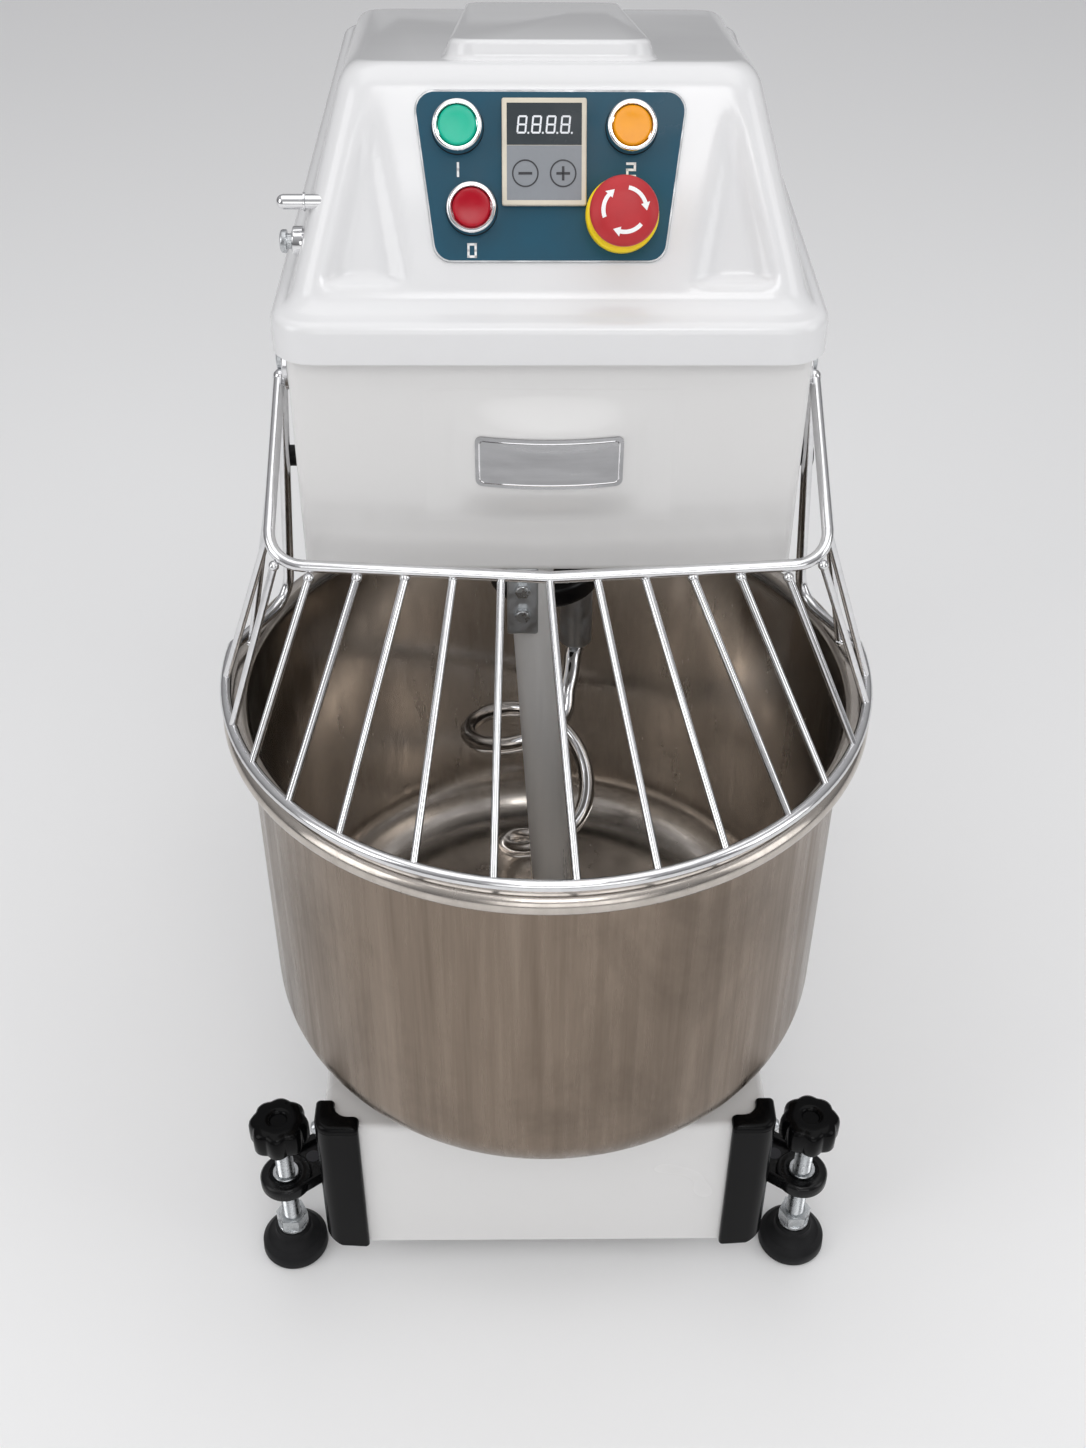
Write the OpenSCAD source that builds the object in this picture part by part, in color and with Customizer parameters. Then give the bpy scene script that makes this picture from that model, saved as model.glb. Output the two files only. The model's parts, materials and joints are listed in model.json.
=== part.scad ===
// Spiral dough mixer: a bowl that turns under a fixed breaker bar, with a
// spiral hook behind it, on a C-shaped body with belts and a motor inside.
// Millimetres. +X is the machine's right seen from the front, +Y runs to the
// back and +Z is up. The origin is on the floor, under the middle of the
// whole machine. Most pieces are drawn in their own place.

/* [Body] */
// Clear height under the base box
base_lift = 41; // [36:0.5:60]
// Height of the base box
base_h = 142; // [136:1:200]
// Width of the base box
base_w = 329; // [325:1:420]
// How far the base reaches ahead of the bowl's axis
base_reach = 138; // [130:1:190]
// Length of the column behind the bowl, front to back
column_l = 294.5; // [280:0.5:420]
// Gap between the bowl's rim and the column
column_gap = 12.5; // [8:0.5:40]
// Width of the head and the column
head_w = 303.4; // [300:0.2:380]
// Height of the head's sheet sides, up to the hood's lip
head_h = 147; // [140:1:200]
// How far the head reaches ahead of the bowl's axis
head_reach = 25; // [20:1:50]
// Room between the bowl's rim and the underside of the head
head_gap = 98.5; // [80:0.5:160]
// Thickness of the white sheet metal
skin = 2; // [1.5:0.1:3]
// Bend radius of the head's front edges
head_bend_r = 12; // [6:1:20]

/* [Hood] */
// Height of the hood above its lip's lower edge, to its top face
hood_h = 142; // [120:1:180]
// Height of the hood's lip band
lip_h = 24; // [18:1:32]
// How far the lip stands out from the head's sides
lip_out = 8.2; // [7:0.1:12]
// Wall of the moulded hood
hood_wall = 4; // [3:0.5:5]
// Slope of the control face, from level
face_slope = 61.5; // [55:0.5:68]
// Width of the hood's top
hood_top_w = 230; // [200:1:250]
// Height of the pad on the hood's top
pad_h = 11; // [6:1:20]
// How far the hood's top falls from front to back
hood_fall = 92; // [60:1:92]

/* [Bowl] */
// Outer radius of the bowl's wall
bowl_r = 202.5; // [190:0.5:245]
// Height of the bowl, bottom to rim
bowl_h = 297; // [248:1:360]
// Sheet thickness of the bowl
bowl_wall = 2; // [1.5:0.1:3]
// Radius between the bowl's wall and its bottom
bowl_corner_r = 50; // [40:1:60]
// Radius of the rolled rim
rim_tube_r = 7.5; // [6:0.5:10]
// Gap between the base box and the bowl's bottom
bowl_gap = 16.5; // [16:0.5:24]
// Diameter of the bowl's shaft
bowl_shaft_d = 40; // [32:1:45]

/* [Hook and breaker bar] */
// Distance of the hook's axis behind the bowl's axis
hook_back = 120; // [116:1:126]
// Diameter of the hook's rod
hook_rod_d = 13; // [11:0.5:16]
// Outer diameter of the sleeve at the hook's root
sleeve_d = 24; // [21:0.5:26]
// Distance of the hook's root from the hook's axis
hook_root_r = 24; // [20:0.5:26]
// Diameter of the hook's hub
hook_hub_d = 80; // [76:1:90]
// Diameter of the hook's spindle
spindle_d = 35; // [30:1:38]
// Diameter of the breaker bar
bar_d = 29; // [24:0.5:32]
// Sideways lean of the breaker bar
bar_lean = 3.35; // [0:0.05:4]
// Room under the hook and the breaker bar
floor_gap = 7; // [5:0.5:12]

/* [Guard] */
// Diameter of the guard's ring and frame tube
guard_tube_d = 7.5; // [6:0.5:8.5]
// Diameter of the guard's bars
guard_bar_d = 5; // [4:0.5:6]
// Room between the bowl's rim and the guard's ring
guard_gap = 6; // [5:0.5:10]
// Angle that the guard lifts through
guard_lift = 75; // [60:1:80]
// Diameter of the guard's hinge pins
hinge_pin_d = 10; // [8:0.5:12]

/* [Feet and castors] */
// Diameter of the foot's rubber pad
foot_pad_d = 52; // [44:1:60]
// Diameter of the foot's screw
foot_rod_d = 14; // [12:0.5:16]
// Diameter of the star knob
knob_d = 45.5; // [40:0.5:52]
// Diameter of the castor wheels
castor_d = 50; // [44:1:52]
// Width of the castor wheels
castor_w = 20; // [16:1:22]

/* [Controls] */
// Diameter of the push buttons' bezels
bezel_d = 28.4; // [26:0.2:30]
// Diameter of the push buttons' caps
cap_d = 21.6; // [20:0.1:22]
// Travel of the push buttons
button_travel = 3.5; // [2:0.1:4]
// Diameter of the emergency stop's head
estop_d = 38; // [34:0.5:42]
// Travel of the emergency stop
estop_travel = 4; // [3:0.5:5]

/* [Drive] */
// Width of a belt
belt_w = 10; // [8:1:11]
// Depth of a belt
belt_t = 7; // [6:1:8]
// Belt line radius of the motor's pulley
motor_pulley_r = 32; // [28:1:36]
// Belt line radius of the layshaft's large pulley
lay_big_r = 90; // [80:1:95]
// Belt line radius of the layshaft's pulley for the hook
lay_hook_r = 45; // [40:1:50]
// Belt line radius of the hook's pulley
hook_pulley_r = 85; // [75:1:90]
// Belt line radius of the layshaft's bottom pulley
lay_low_r = 32; // [28:1:34]
// Belt line radius of the countershaft's large pulley
counter_big_r = 80; // [70:1:81]
// Belt line radius of the countershaft's small pulley
counter_small_r = 25; // [22:1:28]
// Belt line radius of the bowl's pulley
bowl_pulley_r = 120; // [110:1:124]
// Diameter of the layshaft and the countershaft
lay_d = 25; // [20:1:28]
// Diameter of the motor's body
motor_d = 150; // [130:1:154]

/* [Clearances] */
// Radial clearance of a shaft in its bearing
run_fit = 0.05; // [0.02:0.01:0.1]
// Gap between moving pieces that are not a fit
free_gap = 0.4; // [0.3:0.05:1]

/* [Hidden] */

// Levels, from the floor up
base_top = base_lift + base_h;
bowl_z = base_top + bowl_gap;
bowl_floor = bowl_z + bowl_wall;
rim_top = bowl_z + bowl_h;
rim_z = rim_top - rim_tube_r;
head_z = rim_top + head_gap;
lip_z = head_z + head_h;
shelf_z = lip_z + lip_h;
hood_top = lip_z + hood_h;
body_top = shelf_z - hood_wall;

// Places along the machine, front to back
rim_r = bowl_r + 2 * rim_tube_r;
overall_l = 2 * rim_r + column_gap + column_l + lip_out;
bowl_y = rim_r - overall_l / 2;
hook_y = bowl_y + hook_back;
head_y = bowl_y - head_reach;
base_y = bowl_y - base_reach;
col_y = bowl_y + rim_r + column_gap;
back_y = col_y + column_l;
head_x = head_w / 2;
base_x = base_w / 2;

// Chassis plates
plate_t = 5;
deck_t = 8;
skin_gap = 3.2;
castor_plate_t = 4;
castor_h = castor_d + 18;
floor_z = castor_h;
floor_top = floor_z + castor_plate_t;
inner_base_x = base_x - skin - skin_gap;
inner_head_x = head_x - skin - skin_gap;
base_deck_z = base_top - skin - deck_t;
column_deck_z = lip_z - 46;
head_deck_z = head_z + 5;

// Drive: shaft places and belt levels
belt_pitch = belt_w + 5;
belt_flank = 0.325;
lay_y = col_y + 57.5;
counter_y = bowl_y + bowl_pulley_r + counter_small_r + 17;
motor_y = lay_y + lay_big_r + motor_pulley_r + 11;
bowl_belt_z = floor_top + 26;
low_belt_z = bowl_belt_z + 33;
hook_belt_z = lip_z - 15;
motor_belt_z = hook_belt_z + 2 * belt_pitch + 9;
motor_shaft_d = 19;
motor_top = column_deck_z;
motor_h = 250;
spindle_bearing_d = spindle_d + 37;
bowl_bearing_d = bowl_shaft_d + 22;
lay_bearing_d = lay_d + 27;
bearing_w = 15;
housing_wall = 12;
hub_drop = 73;
hub_top = head_z - hub_drop;
hub_h = 30;
hub_z = hub_top - hub_h;
nose_d = spindle_d + 35;
flange_t = 8;
bowl_flange_d = 130;
bowl_housing_z = base_deck_z - 46;
motor_bearing_d = 44;
rotor_d = 41;
nose_flange = 11;

// Badge: a shallow swelling on the head's front and the plate on it
badge_r = 197;
badge_out = 9;
badge_z = head_z + 83;
badge_swell = [62, 26];
badge_size = [88, 33];
badge_t = 1.1;

// Hood and its sloping control face
lip_x = head_x + lip_out;
lip_corner_r = 25;
hood_r = 14;
hood_x = head_x - 1.7;
face_y = head_y + 12;
face_z = lip_z + 30;
function face_s(z) = (z - face_z + hood_r * cos(face_slope)) / sin(face_slope);
hood_low_s = face_s(shelf_z);
hood_high_s = face_s(hood_top - hood_r);
hood_back_low = back_y - 2 - hood_r;
hood_back_high = back_y - 48 - hood_r;
face_top_y = face_y + (hood_top - face_z) / tan(face_slope);
hood_end_z = hood_top - hood_fall;
function top_at(y) = hood_top - hood_fall * (y - face_top_y) / (hood_back_high - face_top_y);
pad_front = face_top_y + 8;
pad_back = back_y - 100;
pad_half = [64, 55];

// Things on the control face: x and distance up the slope
panel_t = 1.5;
panel_low = [65, 20.6];
panel_high = [77, 113];
panel_corner_r = 11;
slow_at = [-51.5, 93];
fast_at = [45, 93];
stop_at = [-44, 49.5];
estop_at = [40, 46];
timer_at = [-3.5, 79.5];
timer_size = [47, 57, 5];
timer_body = [42, 52, 50];
bezel_h = 12;
tail_d = 22;
tail_depth = 16;
stem_d = 8;
cap_top = 11;
cap_skirt = cap_top - panel_t - 2 - button_travel - free_gap;
estop_collar_d = 41;
estop_collar_h = 9;
estop_head_h = 16;
estop_stem_d = 20;
estop_pivot_d = 10;
estop_top = 31;

// Fittings on the hood's left side
pin_y = bowl_y + 20;
pin_z = lip_z + 74;
jog_y = bowl_y + 22;
jog_z = lip_z + 50;
function side_at(z) = hood_x - (hood_x - hood_top_w / 2) * (z - shelf_z) / (hood_top - shelf_z);
jog_flange_d = 17;

// Guard: ring, frame and hinge
ring_z = rim_top + guard_gap + guard_tube_d / 2;
ring_r = rim_r - guard_tube_d / 2;
ring_end = 95;
cross_z = head_z + 20;
cross_y = bowl_y - head_reach - 35;
pivot_y = bowl_y + 60;
pivot_z = head_z + 105;
arm_x = lip_x + 7.1;
hinge_plate_t = 4;
hinge_sink = 1.3;
hinge_plate_x = arm_x - guard_tube_d / 2 - hinge_plate_t + hinge_sink;
leg_x = arm_x + 14;
leg_y = bowl_y + 76;
pin_head_d = hinge_pin_d + 8;
hinge_plate_d = hinge_pin_d + 30;
arm_start = pin_head_d / 2 + guard_tube_d / 2 + 0.5;
bar_pitch = 29;
bar_feet = [-71, -60, -48, -36, -22, -9, 4, 17, 29, 42.5, 53, 65, 77];
stop_z = head_z + 25;
stop_r = 7;

// Hook: turn angle, radius and share of the drop from hub to floor
hook_low = bowl_floor + floor_gap + hook_rod_d / 2;
hook_wide_r = 59;
hook_end_r = 30;
hook_stations = [
    [0, hook_root_r, -0.08], [0, hook_root_r, 0.06], [0, hook_root_r, 0.2],
    [28, hook_root_r + 0.4, 0.24], [57, 0.57 * hook_wide_r, 0.285], [85, 0.86 * hook_wide_r, 0.37],
    [180, hook_wide_r, 0.52], [270, 0.85 * hook_wide_r, 0.61], [360, hook_end_r + 6, 0.77],
    [450, hook_end_r + 1, 0.87], [540, hook_end_r, 0.96], [600, hook_end_r - 6, 1]];
sleeve_low = hub_z - 0.2 * (hub_z - hook_low);

// Breaker bar and its bracket
bar_cross_z = (bowl_floor + head_deck_z) / 2;
bar_low = bowl_floor + floor_gap + 1;
clamp_front = bowl_y - bar_d / 2 - 4;
clamp_t = 7;
lug_drop = 58;

// Feet and castors
foot_x = base_x + 36.5;
foot_y = base_y + 26;
foot_boss_r = 20;
bracket_z = base_lift + 42;
bracket_t = 12;
bracket_root_y = foot_y + 4;
foot_pad_h = 28;
foot_rod_end = 12;
knob_z = bracket_z + bracket_t + 43;
knob_h = 23;
knob_lobes = 8;
foot_nut_h = 11;
castor_x = base_x - 52;
castor_front_y = base_y + 62;
castor_back_y = back_y - 62;
castor_trail = 20;
castor_axle_d = 8;
fork_t = 3;
fork_crown_z = floor_z - 7;
swivel_d = 12;

// Corner guards
guard_arm = [33, 24];
guard_t = 5.5;
guard_cap = 8.5;
guard_rise = 5;
guard_bolt_y = base_y + 12;

// Switchgear box on the column's left plate
switch_box = [-inner_head_x + plate_t, motor_y - 62, base_top + 40];
switch_box_size = [52, 124, 180];

// ---------------------------------------------------------------- helpers

// Plan shape drawn from one level to another
module rise(z0, z1) {
    translate([0, 0, z0]) linear_extrude(z1 - z0) children();
}

// Side outline (y, z) drawn from one x to another
module across(x0, x1) {
    translate([x0, 0, 0]) rotate([90, 0, 90]) linear_extrude(x1 - x0) children();
}

// Front outline (x, z) drawn from one y to another
module along(y0, y1) {
    translate([0, y1, 0]) rotate([90, 0, 0]) linear_extrude(y1 - y0) children();
}

// Box between two corners
module box(low, high) {
    translate(low) cube(high - low);
}

// Rectangle between two corners with round corners
module round_rect(low, high, r) {
    size = high - low;
    translate([low.x + r, low.y]) square([size.x - 2 * r, size.y]);
    translate([low.x, low.y + r]) square([size.x, size.y - 2 * r]);
    for (x = [low.x + r, high.x - r], y = [low.y + r, high.y - r])
        translate([x, y]) circle(r, $fn = 48);
}

// Upright cylinder between two levels
module post(x, y, z0, z1, d, sides = 48) {
    translate([x, y, z0]) cylinder(h = z1 - z0, d = d, $fn = sides);
}

// Upright ring between two levels
module ring(x, y, z0, z1, outer_d, inner_d) {
    translate([x, y, z0]) rotate_extrude($fn = 64)
        translate([inner_d / 2, 0]) square([(outer_d - inner_d) / 2, z1 - z0]);
}

// Straight rod between two points
module rod(a, b, d) {
    v = b - a;
    len = norm(v);
    translate(a) rotate([0, acos(v.z / len), atan2(v.y, v.x)]) cylinder(h = len, d = d, $fn = 24);
}

// Places its children on the control face: x, up the slope, and outwards
module on_face(at = [0, 0], out = 0) {
    translate([0, face_y, face_z]) rotate([face_slope, 0, 0]) translate([at.x, at.y, out]) children();
}

// Copies its children to both sides of the machine
module both_sides() {
    children();
    mirror([1, 0, 0]) children();
}

function unit(v) = v / norm(v);
function tangent(p, i) = unit(p[min(i + 1, len(p) - 1)] - p[max(i - 1, 0)]);

// A direction square to each point's tangent, carried along without twisting
function carried(p, i = 0, side = undef, out = []) =
    i == len(p) ? out :
    let (t = tangent(p, i),
         first = abs(t.z) < 0.9 ? [0, 0, 1] : [1, 0, 0],
         v = is_undef(side) ? first : side,
         n = unit(v - t * (v * t)))
    carried(p, i + 1, n, concat(out, [n]));

// Round tube of diameter d along a list of points
module tube(path, d, sides = 12) {
    normals = carried(path);
    n = len(path);
    points = [for (i = [0 : n - 1]) let (t = tangent(path, i), u = normals[i], w = cross(t, u))
        for (k = [0 : sides - 1]) path[i] + d / 2 * (cos(k * 360 / sides) * u + sin(k * 360 / sides) * w)];
    walls = [for (i = [0 : n - 2], k = [0 : sides - 1]) let (m = (k + 1) % sides)
        [i * sides + k, (i + 1) * sides + k, (i + 1) * sides + m, i * sides + m]];
    low_end = [for (k = [0 : sides - 1]) k];
    high_end = [for (k = [sides - 1 : -1 : 0]) (n - 1) * sides + k];
    polyhedron(points, concat([low_end], walls, [high_end]), convexity = 6);
}

// Points of a smooth curve through four neighbours
function blend(a, b, c, d, t) =
    0.5 * (2 * b + (c - a) * t + (2 * a - 5 * b + 4 * c - d) * t * t + (3 * b - a - 3 * c + d) * t * t * t);
function smooth(p, steps) = [for (i = [0 : len(p) - 2], k = [0 : steps - (i == len(p) - 2 ? 0 : 1)])
    blend(p[max(i - 1, 0)], p[i], p[i + 1], p[min(i + 2, len(p) - 1)], k / steps)];

// Points of a path whose corners are rounded by radius r
function corner(a, b, c, r, steps) =
    let (u = unit(a - b), v = unit(c - b), turn = 180 - acos(u * v), reach = r * tan(turn / 2),
         m = b + unit(u + v) * (r / cos(turn / 2)), x = unit(b + u * reach - m),
         y = unit(-u - x * (-u * x)))
    [for (k = [0 : steps]) m + r * (x * cos(turn * k / steps) + y * sin(turn * k / steps))];
function rounded(p, r, steps) = concat([p[0]],
    [for (i = [1 : len(p) - 2]) each corner(p[i - 1], p[i], p[i + 1], r, steps)], [p[len(p) - 1]]);

// Flat loop round two pulleys, as places and outward directions
function loop(a, ra, b, rb, steps = 30) =
    let (d = norm(b - a), base = atan2(b.y - a.y, b.x - a.x), lap = acos((ra - rb) / d))
    concat(
        [for (k = [0 : steps]) let (q = base + lap + (360 - 2 * lap) * k / steps, n = [cos(q), sin(q)])
            [a + ra * n, n]],
        [for (k = [0 : steps]) let (q = base - lap + 2 * lap * k / steps, n = [cos(q), sin(q)])
            [b + rb * n, n]]);

// V-belt round two pulleys at level z
module belt(a, ra, b, rb, z) {
    path = loop(a, ra, b, rb);
    n = len(path);
    low_w = belt_w / 2 - belt_t * belt_flank;
    section = [[-belt_t / 2, -low_w], [belt_t / 2, -belt_w / 2],
        [belt_t / 2, belt_w / 2], [-belt_t / 2, low_w]];
    points = [for (p = path, s = section) [p[0].x + s.x * p[1].x, p[0].y + s.x * p[1].y, z + s.y]];
    walls = [for (i = [0 : n - 1], k = [0 : 3]) let (j = (i + 1) % n, m = (k + 1) % 4)
        [i * 4 + k, i * 4 + m, j * 4 + m, j * 4 + k]];
    polyhedron(points, walls, convexity = 6);
}

// V-belt pulley centred on level z, with its web and hub
module pulley(x, y, z, r, grooves, bore_d, hub_h = 0) {
    width = grooves * belt_pitch;
    rim = r + belt_t / 2 + 0.5;
    deep = r - belt_t / 2 - 1.5;
    mouth = belt_w / 2 + 0.5 * belt_flank + free_gap;
    foot = mouth - (rim - deep) * belt_flank;
    web = max(deep - 6, bore_d / 2 + 4);
    translate([x, y, z - width / 2]) rotate_extrude($fn = 72) {
        polygon(concat([[web, 0], [rim, 0]],
            [for (g = [0 : grooves - 1]) let (m = (g + 0.5) * belt_pitch)
                each [[rim, m - mouth], [deep, m - foot], [deep, m + foot], [rim, m + mouth]]],
            [[rim, width], [web, width]]));
        translate([bore_d / 2, width / 2 - 4]) square([web - bore_d / 2 + 0.5, 8]);
        translate([bore_d / 2, 0]) square([min(12, web - bore_d / 2), width + hub_h]);
    }
}

// ---------------------------------------------------------------- body

// Welded steel plates that carry everything
module chassis() {
    front = base_y + skin + skin_gap;
    back = back_y - skin - skin_gap;
    color("dimgray") difference() {
        union() {
            box([-inner_base_x, front, floor_z], [inner_base_x, back, floor_top]);
            box([-inner_base_x, front, base_deck_z], [inner_base_x, back, base_deck_z + deck_t]);
            both_sides() {
                box([inner_base_x - plate_t, front, floor_z], [inner_base_x, back, base_deck_z + 1]);
                box([inner_head_x - plate_t, col_y + skin + skin_gap, base_deck_z],
                    [inner_head_x, back, body_top - skin - 1]);
                box([inner_head_x - plate_t, head_y + head_bend_r, head_deck_z],
                    [inner_head_x, back, body_top - skin - 1]);
            }
            box([-inner_head_x, head_y + head_bend_r, head_deck_z],
                [inner_head_x, lay_y + 40, head_deck_z + deck_t]);
            box([-inner_head_x, col_y + skin + skin_gap, column_deck_z],
                [inner_head_x, back, column_deck_z + deck_t]);
        }
        post(0, bowl_y, base_deck_z - 1, base_top, bowl_bearing_d + 2 * housing_wall + 0.2);
        post(0, hook_y, head_deck_z - 1, head_deck_z + deck_t + 1, nose_d + 2 * nose_flange + 0.2);
        bar_shape(bar_d + 2 * free_gap, head_deck_z - 1, head_deck_z + deck_t + 1);
        for (z = [base_deck_z, head_deck_z, column_deck_z])
            post(0, lay_y, z - 1, z + deck_t + 1, lay_d + 12);
        post(0, motor_y, column_deck_z - 1, column_deck_z + deck_t + 1, motor_bearing_d + 2);
        both_sides() translate([inner_head_x - plate_t - 1, pivot_y, pivot_z]) rotate([0, 90, 0])
            cylinder(h = plate_t + 2, d = hinge_pin_d + 14, $fn = 48);
    }
}

// White sheet box over the base, open below
module base_cover() {
    bend = 8;
    hole_d = bowl_shaft_d + 24;
    color("whitesmoke") difference() {
        intersection() {
            rise(base_lift, base_top) round_rect([-base_x, base_y], [base_x, back_y], bend);
            across(-base_x, base_x) {
                translate([base_y, base_lift]) square([back_y - base_y, base_h - bend]);
                translate([base_y + bend, base_lift]) square([back_y - base_y - bend, base_h]);
                translate([base_y + bend, base_top - bend]) circle(bend, $fn = 48);
            }
        }
        rise(base_lift - 1, base_top - skin)
            round_rect([-base_x + skin, base_y + skin], [base_x - skin, back_y - skin], bend - skin);
        post(0, bowl_y, base_top - skin - 1, base_top + 1, hole_d);
        box([-inner_head_x - 0.5, col_y + skin + skin_gap - 0.5, base_top - skin - 1],
            [inner_head_x + 0.5, back_y - skin, base_top + 1]);
    }
}

// Outline of the head and column, moved inwards by a skin
module body_form(inset, low, bend) {
    x = head_x - inset;
    y0 = head_y + inset;
    y1 = back_y - inset;
    top = body_top + (inset > 0 ? 1 : 0);
    zh = head_z + inset;
    intersection() {
        rise(low, top) round_rect([-x, y0], [x, y1], bend);
        across(-x, x) {
            translate([y0, zh + bend]) square([y1 - y0, top - zh - bend]);
            translate([y0 + bend, zh]) square([y1 - y0 - bend, top - zh]);
            translate([y0 + bend, zh + bend]) circle(bend, $fn = 48);
            translate([col_y + inset, low]) square([y1 - col_y - inset, top - low]);
        }
    }
}

// White sheet body: the column and the head in one C-shaped skin
module body_shell() {
    color("whitesmoke") difference() {
        union() {
            difference() {
                body_form(0, base_top, head_bend_r);
                body_form(skin, base_top - 1, head_bend_r - skin);
            }
            both_sides()
                box([head_x - 16, head_y + 30, body_top - skin], [head_x - 0.5, back_y - 30, body_top]);
        }
        box([-head_x + 22, back_y - skin - 1, base_top + 22], [head_x - 22, back_y + 1, body_top - 30]);
        post(0, hook_y, head_z - 1, head_z + skin + 1, nose_d + 8);
        rise(head_z - 1, head_z + head_bend_r)
            round_rect([-36, clamp_front - 3], [22, bowl_y + 30], 6);
        both_sides() translate([head_x - skin - 1, pivot_y, pivot_z]) rotate([0, 90, 0])
            cylinder(h = skin + 2, d = hinge_pin_d + 11, $fn = 48);
    }
    // Shallow swelling behind the badge
    color("whitesmoke") intersection() {
        translate([0, head_y - badge_out + badge_r, badge_z])
            cylinder(h = 2 * badge_swell.y, r = badge_r, center = true, $fn = 120);
        box([-badge_swell.x, head_y - badge_out - 1, badge_z - badge_swell.y],
            [badge_swell.x, head_y + 0.01, badge_z + badge_swell.y]);
    }
}

// Curved bare plate on the swelling
module badge_plate() {
    axis_y = head_y - badge_out + badge_r;
    half = badge_size / 2;
    color("silver") intersection() {
        ring(0, axis_y, badge_z - half.y, badge_z + half.y, 2 * (badge_r + badge_t + 0.1), 2 * badge_r + 0.2);
        along(head_y - badge_out - 3, head_y + 3)
            round_rect([-half.x, badge_z - half.y], [half.x, badge_z + half.y], 3);
    }
}

// Louvred panel on the back
module rear_panel() {
    z0 = base_top + 12;
    z1 = lip_z - 8;
    color("whitesmoke") difference() {
        along(back_y, back_y + skin) round_rect([-head_x + 12, z0], [head_x - 12, z1], 6);
        for (z = [z0 + 60 : 18 : z0 + 204]) for (x = [-60, 60])
            along(back_y - 1, back_y + skin + 1) round_rect([x - 45, z], [x + 45, z + 6], 2.9);
    }
}

// Round-headed screws of the hood, the back panel and the corner guards
module cover_screws() {
    z0 = base_top + 12;
    z1 = lip_z - 8;
    color("silver") {
        for (x = [-head_x + 18, head_x - 18], z = [z0 + 6, (z0 + z1) / 2, z1 - 6])
            translate([x, back_y + skin, z]) rotate([-90, 0, 0]) cylinder(h = 2.6, d = 9, $fn = 24);
        both_sides() for (y = [head_y + 70, back_y - 70])
            translate([lip_x, y, lip_z + 9]) rotate([0, 90, 0]) cylinder(h = 2.6, d = 9, $fn = 24);
    }
}

// Moulded hood with its lip, its sloping control face and the pad on top
module hood_form(r) {
    hull() {
        for (x = [-1, 1]) {
            on_face([x * (hood_x - hood_r), hood_low_s], -hood_r) sphere(r, $fn = 32);
            on_face([x * (hood_top_w / 2 - hood_r), hood_high_s], -hood_r) sphere(r, $fn = 32);
            translate([x * (hood_x - hood_r), hood_back_low, shelf_z]) sphere(r, $fn = 32);
            translate([x * (side_at(hood_end_z) - hood_r), hood_back_high, hood_end_z - hood_r])
                sphere(r, $fn = 32);
        }
    }
}

// Thin strip across the hood's top at depth y, between two levels over its surface
module pad_edge(half, y, low, high) {
    box([-half, y - 0.5, top_at(y) + low], [half, y + 0.5, top_at(y) + high]);
}

module hood() {
    color("white") difference() {
        union() {
            rise(lip_z, shelf_z)
                round_rect([-lip_x, head_y - lip_out], [lip_x, back_y + lip_out], lip_corner_r);
            hood_form(hood_r);
            hull() {
                pad_edge(pad_half[0], pad_front, -2, -1);
                pad_edge(pad_half[0], pad_back, -2, -1);
                pad_edge(pad_half[1], pad_front + 6, -1, pad_h);
                pad_edge(pad_half[1], pad_back - 10, -1, pad_h);
            }
        }
        rise(lip_z - 1, body_top) round_rect([-lip_x + hood_wall, head_y - lip_out + hood_wall],
            [lip_x - hood_wall, back_y + lip_out - hood_wall], lip_corner_r - hood_wall);
        intersection() {
            hood_form(hood_r - hood_wall);
            box([-lip_x, head_y, body_top - 1], [lip_x, back_y, hood_top]);
        }
        for (at = [slow_at, fast_at, stop_at, estop_at])
            on_face(at, -hood_wall - 8) cylinder(h = hood_wall + 9, d = tail_d + 0.6, $fn = 48);
        on_face(timer_at, 0) translate([-timer_body.x / 2 - 0.5, -timer_body.y / 2 - 0.5, -hood_wall - 8])
            cube([timer_body.x + 1, timer_body.y + 1, hood_wall + 9]);
        translate([-lip_x, pin_y, pin_z]) rotate([0, 90, 0]) cylinder(h = 60, d = 9, $fn = 32);
        translate([-lip_x, jog_y, jog_z]) rotate([0, 90, 0]) {
            cylinder(h = 60, d = 13, $fn = 32);
            cylinder(h = lip_x - side_at(jog_z) + 1, d = jog_flange_d + 2 * free_gap, $fn = 48);
        }
    }
}

// ---------------------------------------------------------------- controls

// Printed plate under the buttons, wider at the top
module control_panel() {
    r = panel_corner_r;
    low = [panel_low.x - r, panel_low.y + r];
    high = [panel_high.x - r, panel_high.y - r];
    color("steelblue") on_face() difference() {
        linear_extrude(panel_t) hull() for (m = [-1, 1]) {
            translate([m * low.x, low.y]) circle(r, $fn = 32);
            translate([m * high.x, high.y]) circle(r, $fn = 32);
        }
        for (at = [slow_at, fast_at, stop_at, estop_at])
            translate([at.x, at.y, -1]) cylinder(h = panel_t + 2, d = tail_d + 0.6, $fn = 48);
        translate([timer_at.x - timer_body.x / 2 - 0.5, timer_at.y - timer_body.y / 2 - 0.5, -1])
            cube([timer_body.x + 1, timer_body.y + 1, panel_t + 2]);
    }
}

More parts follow.
